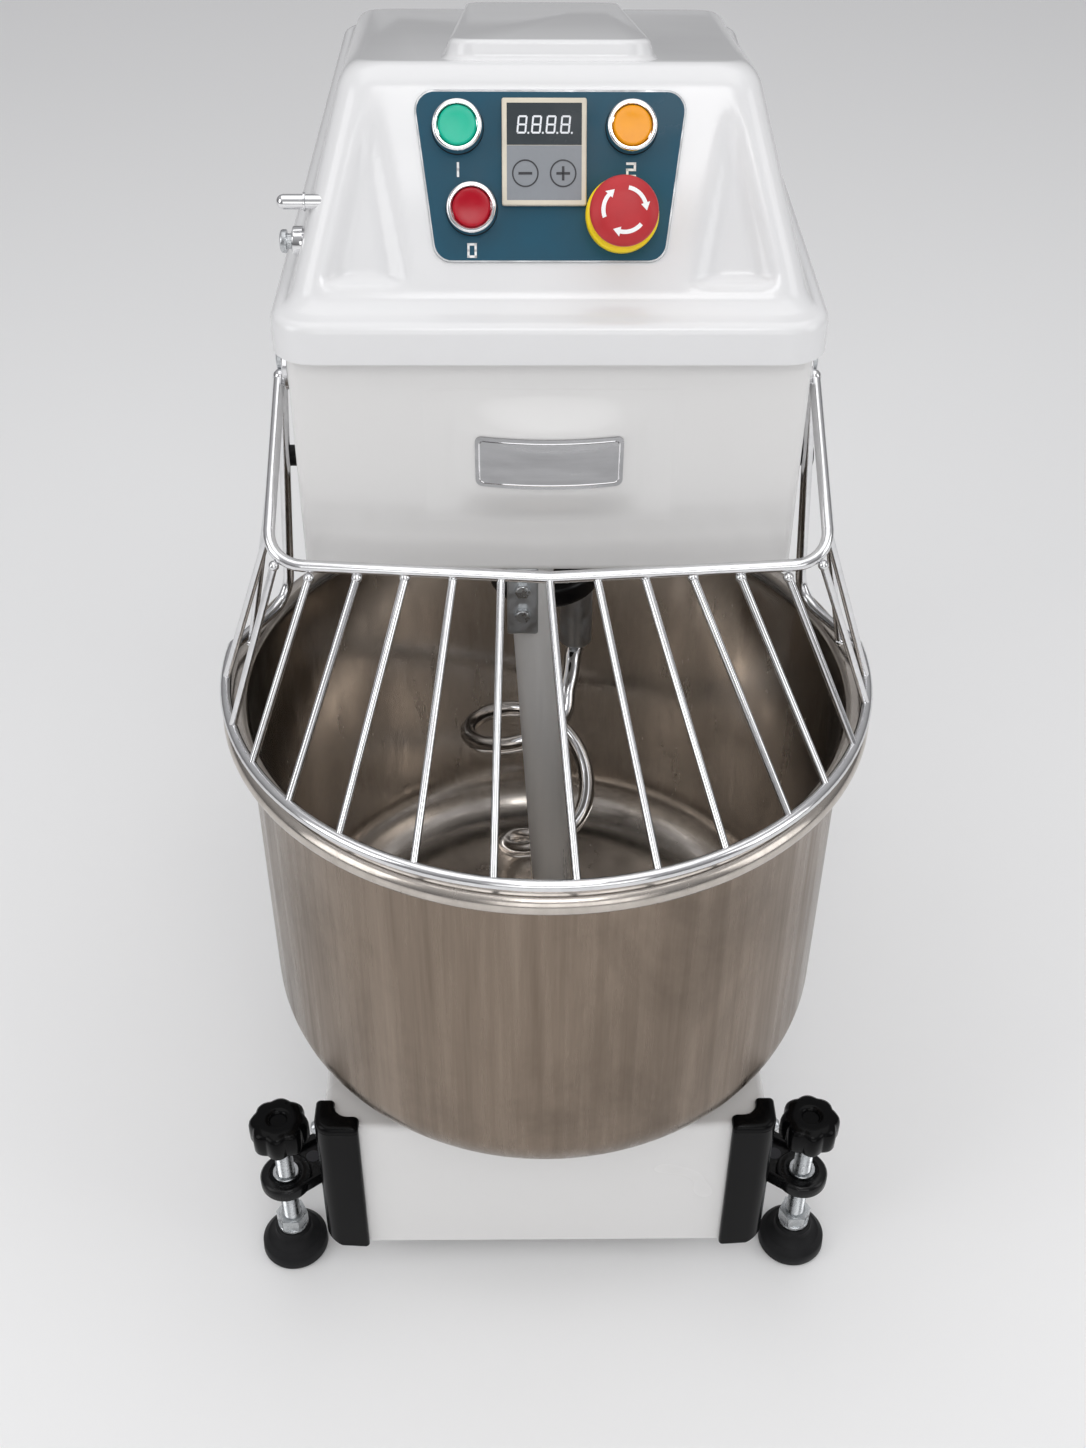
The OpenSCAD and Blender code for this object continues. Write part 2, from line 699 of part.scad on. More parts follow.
// Bright rings round the push buttons, each with its threaded tail and nut
module button_bezels() {
    nut_top = -hood_wall - free_gap;
    color("silver") for (at = [slow_at, fast_at, stop_at]) on_face(at) rotate_extrude($fn = 64)
        polygon([[cap_d / 2 + free_gap, panel_t + 2], [cap_d / 2 + free_gap, bezel_h],
            [bezel_d / 2 - 1.2, bezel_h], [bezel_d / 2, bezel_h - 1.5], [bezel_d / 2, panel_t],
            [tail_d / 2, panel_t], [tail_d / 2, nut_top], [tail_d / 2 + 4, nut_top],
            [tail_d / 2 + 4, nut_top - 4], [tail_d / 2, nut_top - 4], [tail_d / 2, -tail_depth],
            [stem_d / 2 + free_gap, -tail_depth], [stem_d / 2 + free_gap, -tail_depth + 2],
            [tail_d / 2 - 1.5, -tail_depth + 2], [tail_d / 2 - 1.5, panel_t + 2]]);
}

// Switch blocks behind the panel
module button_bodies() {
    color("dimgray") for (at = [slow_at, fast_at, stop_at, estop_at])
        on_face(at, -tail_depth - 32) translate([-13, -13, 0]) difference() {
            cube([26, 26, 32]);
            translate([13, 13, 20]) cylinder(h = 13, d = stem_d + 2, $fn = 32);
        }
}

// One push-button cap with its skirt and stem
module push_cap(at) {
    on_face(at) {
        translate([0, 0, cap_top - cap_skirt]) cylinder(h = cap_skirt, d = cap_d, $fn = 48);
        translate([0, 0, -tail_depth - 6])
            cylinder(h = tail_depth + 6 + cap_top - cap_skirt, d = stem_d, $fn = 32);
    }
}
module start_slow_button() { color("mediumseagreen") push_cap(slow_at); }
module start_fast_button() { color("orange") push_cap(fast_at); }
module stop_button() { color("crimson") push_cap(stop_at); }

// Yellow collar under the emergency stop, with its tail
module estop_collar() {
    color("gold") on_face(estop_at) rotate_extrude($fn = 64)
        polygon([[estop_stem_d / 2 - 4, panel_t + 2], [estop_stem_d / 2 + free_gap, panel_t + 2],
            [estop_stem_d / 2 + free_gap, panel_t + estop_collar_h],
            [estop_collar_d / 2 - 2, panel_t + estop_collar_h],
            [estop_collar_d / 2, panel_t + estop_collar_h - 2], [estop_collar_d / 2, panel_t],
            [tail_d / 2, panel_t], [tail_d / 2, -tail_depth], [stem_d / 2 + free_gap, -tail_depth],
            [stem_d / 2 + free_gap, -tail_depth + 2], [estop_stem_d / 2 - 4, -tail_depth + 2]]);
}

// Stem that slides in the collar
module estop_stem() {
    shoulder = panel_t + 2 + estop_travel + free_gap;
    top = estop_top - estop_head_h;
    color("firebrick") on_face(estop_at) {
        translate([0, 0, shoulder]) cylinder(h = top - shoulder, d = estop_stem_d, $fn = 48);
        translate([0, 0, -tail_depth - 6]) cylinder(h = tail_depth + 6 + top, d = stem_d, $fn = 32);
        translate([0, 0, top - 1]) cylinder(h = 9, d = estop_pivot_d, $fn = 32);
    }
}

// Mushroom head that twists on the stem
module estop_head() {
    r = estop_d / 2;
    z0 = estop_top - estop_head_h;
    color("indianred") on_face(estop_at) difference() {
        rotate_extrude($fn = 64)
            polygon([[0, z0 + 0.3], [r - 6, z0 + 0.3], [r - 2, z0 + 4], [r, z0 + 8], [r, z0 + 12],
                [r - 1.2, z0 + 14.2], [r - 4, estop_top - 0.6], [r - 9, estop_top], [0, estop_top]]);
        translate([0, 0, z0 - 1]) cylinder(h = 10, d = estop_pivot_d + 2 * run_fit, $fn = 48);
    }
}

// Timer with its display and keys, and its body behind the face
module timer_module() {
    color("lightgray") on_face(timer_at) {
        translate([-timer_size.x / 2, -timer_size.y / 2, panel_t]) cube(timer_size);
        translate([-timer_body.x / 2, -timer_body.y / 2, -timer_body.z])
            cube([timer_body.x, timer_body.y, timer_body.z + panel_t + 1]);
    }
}

// Bright pin and the jog button's ring on the hood's left side
module side_fittings() {
    r = jog_flange_d / 2;
    color("silver") {
        translate([-side_at(pin_z) - 15, pin_y, pin_z]) {
            rotate([0, 90, 0]) cylinder(h = 28, d = 8.4, $fn = 32);
            sphere(4.2, $fn = 32);
        }
        translate([-side_at(jog_z) - 5, jog_y, jog_z]) rotate([0, 90, 0]) rotate_extrude($fn = 48)
            polygon([[4.5, 0], [r - 1, 0], [r, 1], [r, 6], [6, 6], [6, 24], [4.5, 24]]);
    }
}
module jog_button() {
    stem_r = 4.5 - free_gap;
    color("silver") translate([-side_at(jog_z) - 12, jog_y, jog_z]) rotate([0, 90, 0])
        rotate_extrude($fn = 48)
            polygon([[0, 0], [5.6, 0], [6.6, 1.2], [6.6, 3.5], [stem_r, 3.5], [stem_r, 30], [0, 30]]);
}

// Steel box of switchgear on the column's left plate
module electrical_box() {
    s = switch_box_size;
    color("lightgray") difference() {
        box(switch_box, switch_box + s);
        box(switch_box + [2, 2, 2], switch_box + [s.x + 1, s.y - 2, s.z - 2]);
    }
}
module contactors() {
    color("dimgray") for (z = [20, 100])
        box(switch_box + [2, 22, z], switch_box + [44, 102, z + 60]);
}

// ---------------------------------------------------------------- hook

// Leaning steel bar on the bowl's axis
module bar_shape(d, z0, z1) {
    grow = 1 / cos(bar_lean);
    translate([0, bowl_y, bar_cross_z]) rotate([0, -bar_lean, 0])
        translate([0, 0, (z0 - bar_cross_z) * grow]) cylinder(h = (z1 - z0) * grow, d = d, $fn = 64);
}
module breaker_bar() {
    color("lightgray") bar_shape(bar_d, bar_low, head_deck_z + deck_t);
}

// Bracket that holds the bar under the head's deck
module bar_clamp() {
    z1 = head_deck_z;
    color("silver") difference() {
        union() {
            box([-32, clamp_front, z1 - clamp_t], [14, bowl_y + 26, z1]);
            box([-26, clamp_front, z1 - lug_drop], [-6, clamp_front + 8, z1 - clamp_t + 1]);
        }
        bar_shape(bar_d + 2 * run_fit, z1 - lug_drop - 10, z1 + 6);
    }
}

// Bright bolts of the breaker bar, washers on the foot brackets and corner guard bolts
module bright_fasteners() {
    z1 = head_deck_z;
    color("silver") {
        for (z = [22, 41])
            translate([-16, clamp_front, z1 - z]) rotate([90, 0, 0]) cylinder(h = 4, d = 11, $fn = 32);
        both_sides() {
            translate([0, 0, bracket_z + bracket_t])
                ring(foot_x, foot_y, 0, 1.6, 20, foot_rod_d + 2 * free_gap);
            translate([base_x + guard_t, guard_bolt_y, base_top - 14]) rotate([0, 90, 0])
                cylinder(h = 4, d = 10, $fn = 32);
        }
    }
}

// Spiral: a rod that winds out, down and in again
function hook_point(s) = [s[1] * cos(s[0]), hook_y - s[1] * sin(s[0]), hub_z - s[2] * (hub_z - hook_low)];
module hook() {
    path = [for (s = smooth(hook_stations, 9)) hook_point(s)];
    color("silver") {
        tube(path, hook_rod_d, 16);
        translate(path[len(path) - 1]) sphere(d = hook_rod_d - 0.1, $fn = 16);
    }
}
module hook_sleeve() {
    color("gainsboro") ring(hook_root_r, hook_y, sleeve_low, hub_z, sleeve_d, hook_rod_d + 2.2);
}

// Cast hub that takes the hook's root
module hook_hub() {
    r = hook_hub_d / 2;
    color("gray") difference() {
        translate([0, hook_y, hub_z]) rotate_extrude($fn = 72)
            polygon([[0, 0], [r - 3, 0], [r, 3], [r, 16], [r - 8, 20],
                [nose_d / 2 - 6, hub_h], [0, hub_h]]);
        post(hook_root_r, hook_y, hub_z - 1, hub_z + 0.09 * (hub_z - hook_low), hook_rod_d + 0.2);
        post(0, hook_y, hub_z + 10, hub_top + 1, spindle_d + 2 * run_fit, 64);
    }
}
module hook_spindle() {
    color("darkgray") {
        post(0, hook_y, hub_z + 10, hook_belt_z + belt_pitch + 12, spindle_d, 64);
        translate([0, hook_y, hook_belt_z + belt_pitch + 3]) cylinder(h = 10, d = spindle_d + 14, $fn = 64);
    }
}
module hook_pulley() {
    color("darkslategray") pulley(0, hook_y, hook_belt_z, hook_pulley_r, 2, spindle_d, 3);
}

// Housing bolted on the head's deck, with a nose that reaches down to the hub
module spindle_housing() {
    z0 = hub_top + 3 - head_deck_z;
    z1 = hook_belt_z - belt_pitch - 12 - head_deck_z;
    bore = spindle_bearing_d / 2;
    out = bore + housing_wall - 1;
    color("slategray") translate([0, hook_y, head_deck_z]) rotate_extrude($fn = 72)
        polygon([[spindle_d / 2 + 1, z0], [nose_d / 2, z0], [nose_d / 2, -1],
            [nose_d / 2 + nose_flange, -1], [nose_d / 2 + nose_flange, deck_t], [out + 20, deck_t],
            [out + 20, deck_t + 10], [out, deck_t + 10], [out, z1], [bore, z1], [bore, 4],
            [spindle_d / 2 + 1, 4]]);
}

// Ball bearings of every shaft
module bearing(x, y, z, shaft_d, outer_d) {
    r0 = shaft_d / 2 + run_fit;
    r1 = outer_d / 2;
    m = (r0 + r1) / 2;
    translate([x, y, z]) rotate_extrude($fn = 72)
        polygon([[r0, 0], [m - 3, 0], [m - 3, 2], [m + 3, 2], [m + 3, 0], [r1, 0], [r1, bearing_w],
            [m + 3, bearing_w], [m + 3, bearing_w - 2], [m - 3, bearing_w - 2], [m - 3, bearing_w],
            [r0, bearing_w]]);
}
module bearings() {
    housing_top = hook_belt_z - belt_pitch - 12;
    color("silver") {
        for (z = [head_deck_z + 4, housing_top - bearing_w])
            bearing(0, hook_y, z, spindle_d, spindle_bearing_d);
        for (z = [bowl_housing_z + 2, base_top - skin - bearing_w])
            bearing(0, bowl_y, z, bowl_shaft_d, bowl_bearing_d);
        for (z = [floor_top, column_deck_z - bearing_w])
            bearing(0, lay_y, z, lay_d, lay_bearing_d);
        for (z = [floor_top, base_deck_z - bearing_w])
            bearing(0, counter_y, z, lay_d, lay_bearing_d);
        for (z = [motor_top - motor_h + 60, motor_top - bearing_w])
            bearing(0, motor_y, z, motor_shaft_d, motor_bearing_d);
    }
}

// ---------------------------------------------------------------- bowl

// Spun bowl with a rolled rim
module bowl_half(r, z0, z1, corner) {
    square([r - corner, z1 - z0]);
    translate([0, corner]) square([r, z1 - z0 - corner]);
    translate([r - corner, corner]) circle(corner, $fn = 96);
}
module bowl() {
    color("rosybrown") translate([0, bowl_y, bowl_z]) rotate_extrude($fn = 128) {
        difference() {
            intersection() {
                bowl_half(bowl_r, 0, bowl_h - rim_tube_r, bowl_corner_r);
                square([rim_r, bowl_h]);
            }
            translate([-0.01, bowl_wall]) intersection() {
                bowl_half(bowl_r - bowl_wall, 0, bowl_h, bowl_corner_r - bowl_wall);
                square([rim_r, bowl_h + 1]);
            }
        }
        translate([rim_r - rim_tube_r - 0.2, bowl_h - rim_tube_r]) circle(rim_tube_r + 0.2, $fn = 48);
    }
}
module bowl_flange() {
    color("slategray") {
        ring(0, bowl_y, bowl_z - flange_t, bowl_z, bowl_flange_d, bowl_shaft_d);
        for (a = [45 : 90 : 315]) translate([45 * cos(a), bowl_y + 45 * sin(a), bowl_z - flange_t - 4])
            cylinder(h = 5, d = 12, $fn = 24);
    }
}
module bowl_shaft() {
    color("darkgray") post(0, bowl_y, floor_top + 3, bowl_z, bowl_shaft_d, 64);
}
module bowl_pulley() {
    color("darkslategray") pulley(0, bowl_y, bowl_belt_z, bowl_pulley_r, 1, bowl_shaft_d, 5);
}
module bowl_bearing_housing() {
    bore = bowl_bearing_d / 2;
    out = bore + housing_wall;
    top = base_top - skin - bowl_housing_z;
    deck = base_deck_z - bowl_housing_z;
    color("slategray") translate([0, bowl_y, bowl_housing_z]) rotate_extrude($fn = 72)
        polygon([[bowl_shaft_d / 2 + 1.5, 0], [out, 0], [out, deck - 8], [out + 22, deck - 8],
            [out + 22, deck], [out, deck], [out, top], [bore, top], [bore, 2],
            [bowl_shaft_d / 2 + 1.5, 2]]);
}

// ---------------------------------------------------------------- drive

module countershaft() {
    color("darkgray") {
        post(0, counter_y, floor_top + 1, base_deck_z - 1, lay_d, 64);
        pulley(0, counter_y, bowl_belt_z, counter_small_r, 1, lay_d - 0.2, 3);
        pulley(0, counter_y, low_belt_z, counter_big_r, 1, lay_d - 0.2, 3);
    }
}
module layshaft() {
    color("darkgray") {
        post(0, lay_y, floor_top + 1, motor_belt_z + belt_pitch + 8, lay_d, 64);
        pulley(0, lay_y, low_belt_z, lay_low_r, 1, lay_d - 0.2, 3);
        pulley(0, lay_y, hook_belt_z, lay_hook_r, 2, lay_d - 0.2, 3);
        pulley(0, lay_y, motor_belt_z, lay_big_r, 2, lay_d - 0.2, 3);
    }
}

// Motor hung under the column's deck: ribbed body, end bells and terminal box
module motor() {
    z1 = motor_top;
    z0 = z1 - motor_h;
    fins = 24;
    color("steelblue") difference() {
        union() {
            post(0, motor_y, z1 - 10, z1, motor_d + 10);
            post(0, motor_y, z0 + 40, z1 - 9, motor_d - 16);
            post(0, motor_y, z0, z0 + 41, motor_d - 4);
            for (k = [0 : fins - 1]) translate([0, motor_y, 0]) rotate([0, 0, k * 360 / fins])
                box([motor_d / 2 - 12, -1.2, z0 + 50], [motor_d / 2, 1.2, z1 - 20]);
            box([28, motor_y + 8, z0 + 90], [motor_d / 2 + 22, motor_y + 58, z0 + 160]);
        }
        post(0, motor_y, z0 + 60, z1 + 1, motor_bearing_d);
    }
}
module motor_rotor() {
    color("darkgray") {
        post(0, motor_y, motor_top - motor_h + 62, motor_belt_z + belt_pitch + 4, motor_shaft_d, 64);
        post(0, motor_y, motor_top - motor_h + 80, motor_top - 25, rotor_d, 64);
        pulley(0, motor_y, motor_belt_z, motor_pulley_r, 2, motor_shaft_d - 0.2, 3);
    }
}
module drive_belts() {
    bowl_c = [0, bowl_y];
    counter_c = [0, counter_y];
    lay_c = [0, lay_y];
    color("darkolivegreen") {
        belt(bowl_c, bowl_pulley_r, counter_c, counter_small_r, bowl_belt_z);
        belt(counter_c, counter_big_r, lay_c, lay_low_r, low_belt_z);
        for (m = [-0.5, 0.5]) {
            belt([0, hook_y], hook_pulley_r, lay_c, lay_hook_r, hook_belt_z + m * belt_pitch);
            belt(lay_c, lay_big_r, [0, motor_y], motor_pulley_r, motor_belt_z + m * belt_pitch);
        }
    }
}

// ---------------------------------------------------------------- guard

function ring_point(a) = [ring_r * sin(a), bowl_y - ring_r * cos(a), ring_z];
module guard() {
    knee = [leg_x, leg_y, ring_z];
    shoulder = [arm_x + 3, cross_y + 3, cross_z + 8];
    pivot = [arm_x, pivot_y, pivot_z];
    hip = pivot + arm_start * unit([0, shoulder.y - pivot_y, shoulder.z - pivot_z]);
    thigh = pivot + arm_start * unit([0, knee.y - pivot_y, knee.z - pivot_z]);
    function flip(p) = [-p.x, p.y, p.z];
    ring_path = concat(
        rounded([flip(thigh), flip(knee), ring_point(-ring_end)], 20, 6),
        [for (a = [-ring_end + 5 : 5 : ring_end - 5]) ring_point(a)],
        rounded([ring_point(ring_end), knee, thigh], 20, 6));
    frame_path = rounded([flip(hip), flip(shoulder), [0, cross_y, cross_z], shoulder, hip], 22, 6);
    color("silver") {
        tube(ring_path, guard_tube_d);
        tube(frame_path, guard_tube_d);
        for (k = [1 : 11])
            rod([(k - 6) * bar_pitch, cross_y, cross_z], ring_point(bar_feet[k]), guard_bar_d);
        rod([-arm_x + 1, cross_y + 4, cross_z + 6], ring_point(bar_feet[0]), guard_bar_d);
        rod([arm_x - 1, cross_y + 4, cross_z + 6], ring_point(bar_feet[12]), guard_bar_d);
        for (m = [-1, 1]) {
            rod([m * (arm_x + 2.2), cross_y + 22, cross_z + 21], ring_point(m * 85), guard_bar_d);
            rod([m * (arm_x + 0.8), cross_y + 78, cross_z + 56],
                [m * (leg_x + 20), bowl_y + 22, ring_z], guard_bar_d);
            translate([m * (hinge_plate_x + hinge_plate_t / 2), pivot_y, pivot_z]) rotate([0, 90, 0])
                difference() {
                    cylinder(h = hinge_plate_t, d = hinge_plate_d, center = true, $fn = 48);
                    cylinder(h = hinge_plate_t + 2, d = hinge_pin_d, center = true, $fn = 48);
                }
        }
    }
}

// Hinge pins fixed in the guard's plates
module guard_pins() {
    inner = inner_head_x - plate_t - 8;
    len = hinge_plate_x + hinge_plate_t - inner;
    color("silver") both_sides() translate([inner, pivot_y, pivot_z]) rotate([0, 90, 0]) {
        cylinder(h = len, d = hinge_pin_d, $fn = 48);
        translate([0, 0, len]) cylinder(h = 5, d = pin_head_d, $fn = 48);
    }
}

// Flanged bushes that carry the pins in the head's sides
module guard_bushes() {
    inner = inner_head_x - plate_t - 4;
    bore_r = hinge_pin_d / 2 + run_fit;
    out = hinge_plate_x - inner - 0.5;
    color("dimgray") both_sides() translate([inner, pivot_y, pivot_z]) rotate([0, 90, 0])
        rotate_extrude($fn = 48)
            polygon([[bore_r, 0], [bore_r + 5, 0], [bore_r + 5, head_x - inner],
                [bore_r + 9, head_x - inner], [bore_r + 9, out], [bore_r, out]]);
}

// Rubber buffers that the guard's legs rest against
module guard_stops() {
    t = (pivot_z - stop_z) / (pivot_z - ring_z);
    leg_at = pivot_y + (leg_y - pivot_y) * t;
    y = leg_at + guard_tube_d / 2 + stop_r + free_gap;
    color("black") both_sides() translate([head_x, y, stop_z]) rotate([0, 90, 0])
        cylinder(h = arm_x + (leg_x - arm_x) * t + 5 - head_x, r = stop_r, $fn = 32);
}

// ---------------------------------------------------------------- feet

// Black mouldings round the base's front corners
module corner_guards() {
    r = 12;
    color("black") both_sides() difference() {
        rise(base_lift - 1, base_top + guard_rise) intersection() {
            round_rect([base_x - 90, base_y - guard_t], [base_x + guard_t, base_y + 90], r);
            translate([base_x - guard_arm.x + guard_t, base_y - guard_t])
                square([guard_arm.x, guard_arm.y + guard_t]);
        }
        box([base_x - 60, base_y, base_lift - 2], [base_x, base_y + 60, base_top]);
        rise(base_top - 1, base_top + guard_rise + 1)
            round_rect([base_x - 60, base_y + guard_cap], [base_x - guard_cap, base_y + 60], r);
    }
}

// Cast arms that carry the foot screws
module foot_brackets() {
    top = bracket_z + bracket_t;
    color("black") both_sides() difference() {
        hull() {
            post(foot_x, foot_y, bracket_z, top, 2 * foot_boss_r);
            box([base_x, bracket_root_y, bracket_z], [base_x + 3, bracket_root_y + 46, top]);
        }
        post(foot_x, foot_y, bracket_z - 1, top + 1, foot_rod_d + 2 * run_fit, 64);
        post(foot_x - 19, foot_y + 18, bracket_z - 1, top + 1, 11);
        hull() {
            post(foot_x - 17, foot_y + 16, top - 6, top + 1, 16);
            box([base_x + 5, foot_y + 9, top - 6], [base_x + 6, foot_y + 42, top + 1]);
        }
    }
}

// Foot screw with its nut
module foot_screw(x) {
    color("silver") {
        post(x, foot_y, foot_rod_end, knob_z + 8, foot_rod_d, 48);
        translate([x, foot_y, foot_pad_h + 1]) cylinder(h = 3, d = 24, $fn = 48);
        translate([x, foot_y, foot_pad_h + 4]) cylinder(h = foot_nut_h, d = 25, $fn = 6);
    }
}
module left_foot_screw() { foot_screw(-foot_x); }
module right_foot_screw() { foot_screw(foot_x); }

// Star knob on top of the screw
module foot_knob(x) {
    r = knob_d / 2;
    color("black") translate([x, foot_y, knob_z]) difference() {
        cylinder(h = knob_h, r = r, $fn = 64);
        for (k = [0 : knob_lobes - 1]) rotate([0, 0, (k + 0.5) * 360 / knob_lobes])
            translate([r + 3.2, 0, -1]) cylinder(h = knob_h + 2, r = 6.2, $fn = 32);
        translate([0, 0, -1]) cylinder(h = 9, d = foot_rod_d, $fn = 48);
        translate([0, 0, knob_h - 4]) cylinder(h = 5, d = 13, $fn = 48);
    }
}
module left_foot_knob() { foot_knob(-foot_x); }
module right_foot_knob() { foot_knob(foot_x); }

// Stepped rubber pad with a socket for the screw's end
module foot_pad(x) {
    r = foot_pad_d / 2;
    color("dimgray") translate([x, foot_y, 0]) rotate_extrude($fn = 64)
        polygon([[0, 0], [r - 1, 0], [r, 1.5], [r - 0.6, 12], [r - 4, 15], [r - 5.5, 16.5], [r - 11, 21],
            [r - 12, foot_pad_h], [foot_rod_d / 2 + run_fit, foot_pad_h],
            [foot_rod_d / 2 + run_fit, foot_rod_end - 0.3], [0, foot_rod_end - 0.3]]);
}
module left_foot_pad() { foot_pad(-foot_x); }
module right_foot_pad() { foot_pad(foot_x); }

// Fork of a castor: crown, two cheeks and the wheel's axle
module fork(x, y, axle_y) {
    w = castor_w / 2 + 2;
    reach = castor_d / 2;
    crown = fork_crown_z - 4;
    box([x - w - fork_t, min(y - 14, axle_y - 9), crown],
        [x + w + fork_t, max(y + 14, axle_y + 9), fork_crown_z]);
    for (cheek_x = [x - w - fork_t / 2, x + w + fork_t / 2]) hull() {
        box([cheek_x - fork_t / 2, min(y - 10, axle_y - 8), crown],
            [cheek_x + fork_t / 2, max(y + 10, axle_y + 8), crown + 1]);
        translate([cheek_x, axle_y, reach]) rotate([0, 90, 0])
            cylinder(h = fork_t, d = 16, center = true, $fn = 32);
    }
    translate([x, axle_y, reach]) rotate([0, 90, 0])
        cylinder(h = 2 * w + 2 * fork_t + 4, d = castor_axle_d, center = true, $fn = 48);
}

// Castor plates under the base floor; the back pair carry fixed forks
module castor_mounts() {
    color("silver") {
        for (x = [-castor_x, castor_x]) {
            box([x - 26, castor_front_y - 26, floor_z - 3], [x + 26, castor_front_y + 26, floor_z]);
            ring(x, castor_front_y, fork_crown_z + 0.4, floor_z - 3, 34, swivel_d + 2 * run_fit);
            box([x - 26, castor_back_y - 26, floor_z - 3], [x + 26, castor_back_y + 26, floor_z]);
            post(x, castor_back_y, fork_crown_z, floor_z - 3, 30);
            fork(x, castor_back_y, castor_back_y);
        }
    }
}
module castor_fork(x) {
    color("silver") {
        fork(x, castor_front_y, castor_front_y + castor_trail);
        post(x, castor_front_y, fork_crown_z - 1, floor_z - 3.4, swivel_d, 48);
    }
}
module left_castor_fork() { castor_fork(-castor_x); }
module right_castor_fork() { castor_fork(castor_x); }
module wheel(x, y) {
    r = castor_d / 2;
    bore_r = castor_axle_d / 2 + run_fit;
    color("dimgray") translate([x, y, r]) rotate([0, 90, 0]) translate([0, 0, -castor_w / 2])
        rotate_extrude($fn = 64)
            polygon([[bore_r, 0], [9, 0], [9, 2], [r - 8, 2], [r - 7, 0], [r - 2, 0], [r, 2],
                [r, castor_w - 2], [r - 2, castor_w], [r - 7, castor_w], [r - 8, castor_w - 2],
                [9, castor_w - 2], [9, castor_w], [bore_r, castor_w]]);
}
module front_left_wheel() { wheel(-castor_x, castor_front_y + castor_trail); }
module front_right_wheel() { wheel(castor_x, castor_front_y + castor_trail); }
module rear_left_wheel() { wheel(-castor_x, castor_back_y); }
module rear_right_wheel() { wheel(castor_x, castor_back_y); }

chassis();
base_cover();
body_shell();
rear_panel();
cover_screws();
hood();
control_panel();
button_bezels();
button_bodies();
start_slow_button();
start_fast_button();
stop_button();
estop_collar();
estop_stem();
estop_head();
timer_module();
badge_plate();
side_fittings();
jog_button();
electrical_box();
contactors();
breaker_bar();
bar_clamp();
bright_fasteners();
hook();
hook_sleeve();
hook_hub();
hook_spindle();
hook_pulley();
spindle_housing();
bearings();
bowl();
bowl_flange();
bowl_shaft();
bowl_pulley();
bowl_bearing_housing();
countershaft();
layshaft();
motor();
motor_rotor();
drive_belts();
guard();
guard_pins();
guard_bushes();
guard_stops();
corner_guards();
foot_brackets();
left_foot_screw();
right_foot_screw();
left_foot_knob();
right_foot_knob();
left_foot_pad();
right_foot_pad();
castor_mounts();
left_castor_fork();
right_castor_fork();
front_left_wheel();
front_right_wheel();
rear_left_wheel();
rear_right_wheel();
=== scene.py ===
# %% [markdown]
# # A spiral dough mixer, finished piece by piece
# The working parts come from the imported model: their places, axes and names are fixed.
# Here the visible ones are modelled again as a maker would finish them, with soft edges,
# welds, threads and moulded corners, and each gets its own paint, metal, rubber or plastic.

import json
from math import atan2, cos, pi, radians, sin, sqrt, tan

import bmesh
import bpy
from mathutils import Matrix, Vector

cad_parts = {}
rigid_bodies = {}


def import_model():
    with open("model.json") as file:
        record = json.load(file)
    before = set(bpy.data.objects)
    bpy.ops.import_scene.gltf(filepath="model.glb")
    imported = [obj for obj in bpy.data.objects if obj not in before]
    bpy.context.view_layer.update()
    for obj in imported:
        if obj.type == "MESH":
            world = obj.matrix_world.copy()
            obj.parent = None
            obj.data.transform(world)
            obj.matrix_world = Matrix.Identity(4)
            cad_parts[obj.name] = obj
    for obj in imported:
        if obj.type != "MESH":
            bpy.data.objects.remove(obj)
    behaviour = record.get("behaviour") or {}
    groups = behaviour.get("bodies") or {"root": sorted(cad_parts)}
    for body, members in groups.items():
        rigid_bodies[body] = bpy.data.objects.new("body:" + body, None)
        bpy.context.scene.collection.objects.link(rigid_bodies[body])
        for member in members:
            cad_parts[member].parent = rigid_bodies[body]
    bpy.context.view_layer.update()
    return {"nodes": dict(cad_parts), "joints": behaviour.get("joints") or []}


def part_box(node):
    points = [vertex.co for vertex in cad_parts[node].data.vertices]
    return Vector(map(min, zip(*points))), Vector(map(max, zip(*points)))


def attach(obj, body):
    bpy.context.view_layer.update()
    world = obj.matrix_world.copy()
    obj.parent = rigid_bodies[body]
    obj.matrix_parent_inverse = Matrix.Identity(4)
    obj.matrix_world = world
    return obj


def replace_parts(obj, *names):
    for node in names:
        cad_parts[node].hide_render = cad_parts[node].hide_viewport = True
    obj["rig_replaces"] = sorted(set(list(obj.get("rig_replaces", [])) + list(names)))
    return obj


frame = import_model()
scene = bpy.context.scene
FLOOR_REACH = 5.0
joints = {joint["name"]: joint for joint in frame["joints"]}

# %% [markdown]
# ## Places taken from the frame
# Every piece is drawn where the frame says. Joint axes give the middle lines of what turns,
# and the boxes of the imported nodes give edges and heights.

# %% Driving places
bowl_axis = Vector(joints["bowl_spin"]["pos_m"])
hook_axis = Vector(joints["hook_spin"]["pos_m"])
guard_axis = Vector(joints["guard_hinge"]["pos_m"])
inward = Vector(joints["slow_push"]["axis"])
shell_low, shell_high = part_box("body_shell")
base_low, base_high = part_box("base_cover")
hood_low, hood_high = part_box("hood")
bowl_low, bowl_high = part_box("bowl")
guard_low, guard_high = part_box("guard")
print("bowl axis at", tuple(bowl_axis), "hook axis at", tuple(hook_axis))

# %% [markdown]
# The control face slopes. A matrix that stands on it, with X to the side, Y up the slope and
# Z straight out, lets every button be drawn upright and then placed in one step.

# %% A standing place on the control face
slope = atan2(inward.y, -inward.z)
face_foot = Vector((0, shell_low.y + 0.021, hood_low.z + 0.030))
face_place = Matrix.Translation(face_foot) @ Matrix.Rotation(slope, 4, "X")


def face_box(node):
    """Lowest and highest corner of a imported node, measured on the control face."""
    back = face_place.inverted()
    points = [back @ vert.co for vert in frame["nodes"][node].data.vertices]
    low = Vector(min(p[i] for p in points) for i in range(3))
    high = Vector(max(p[i] for p in points) for i in range(3))
    return low, high


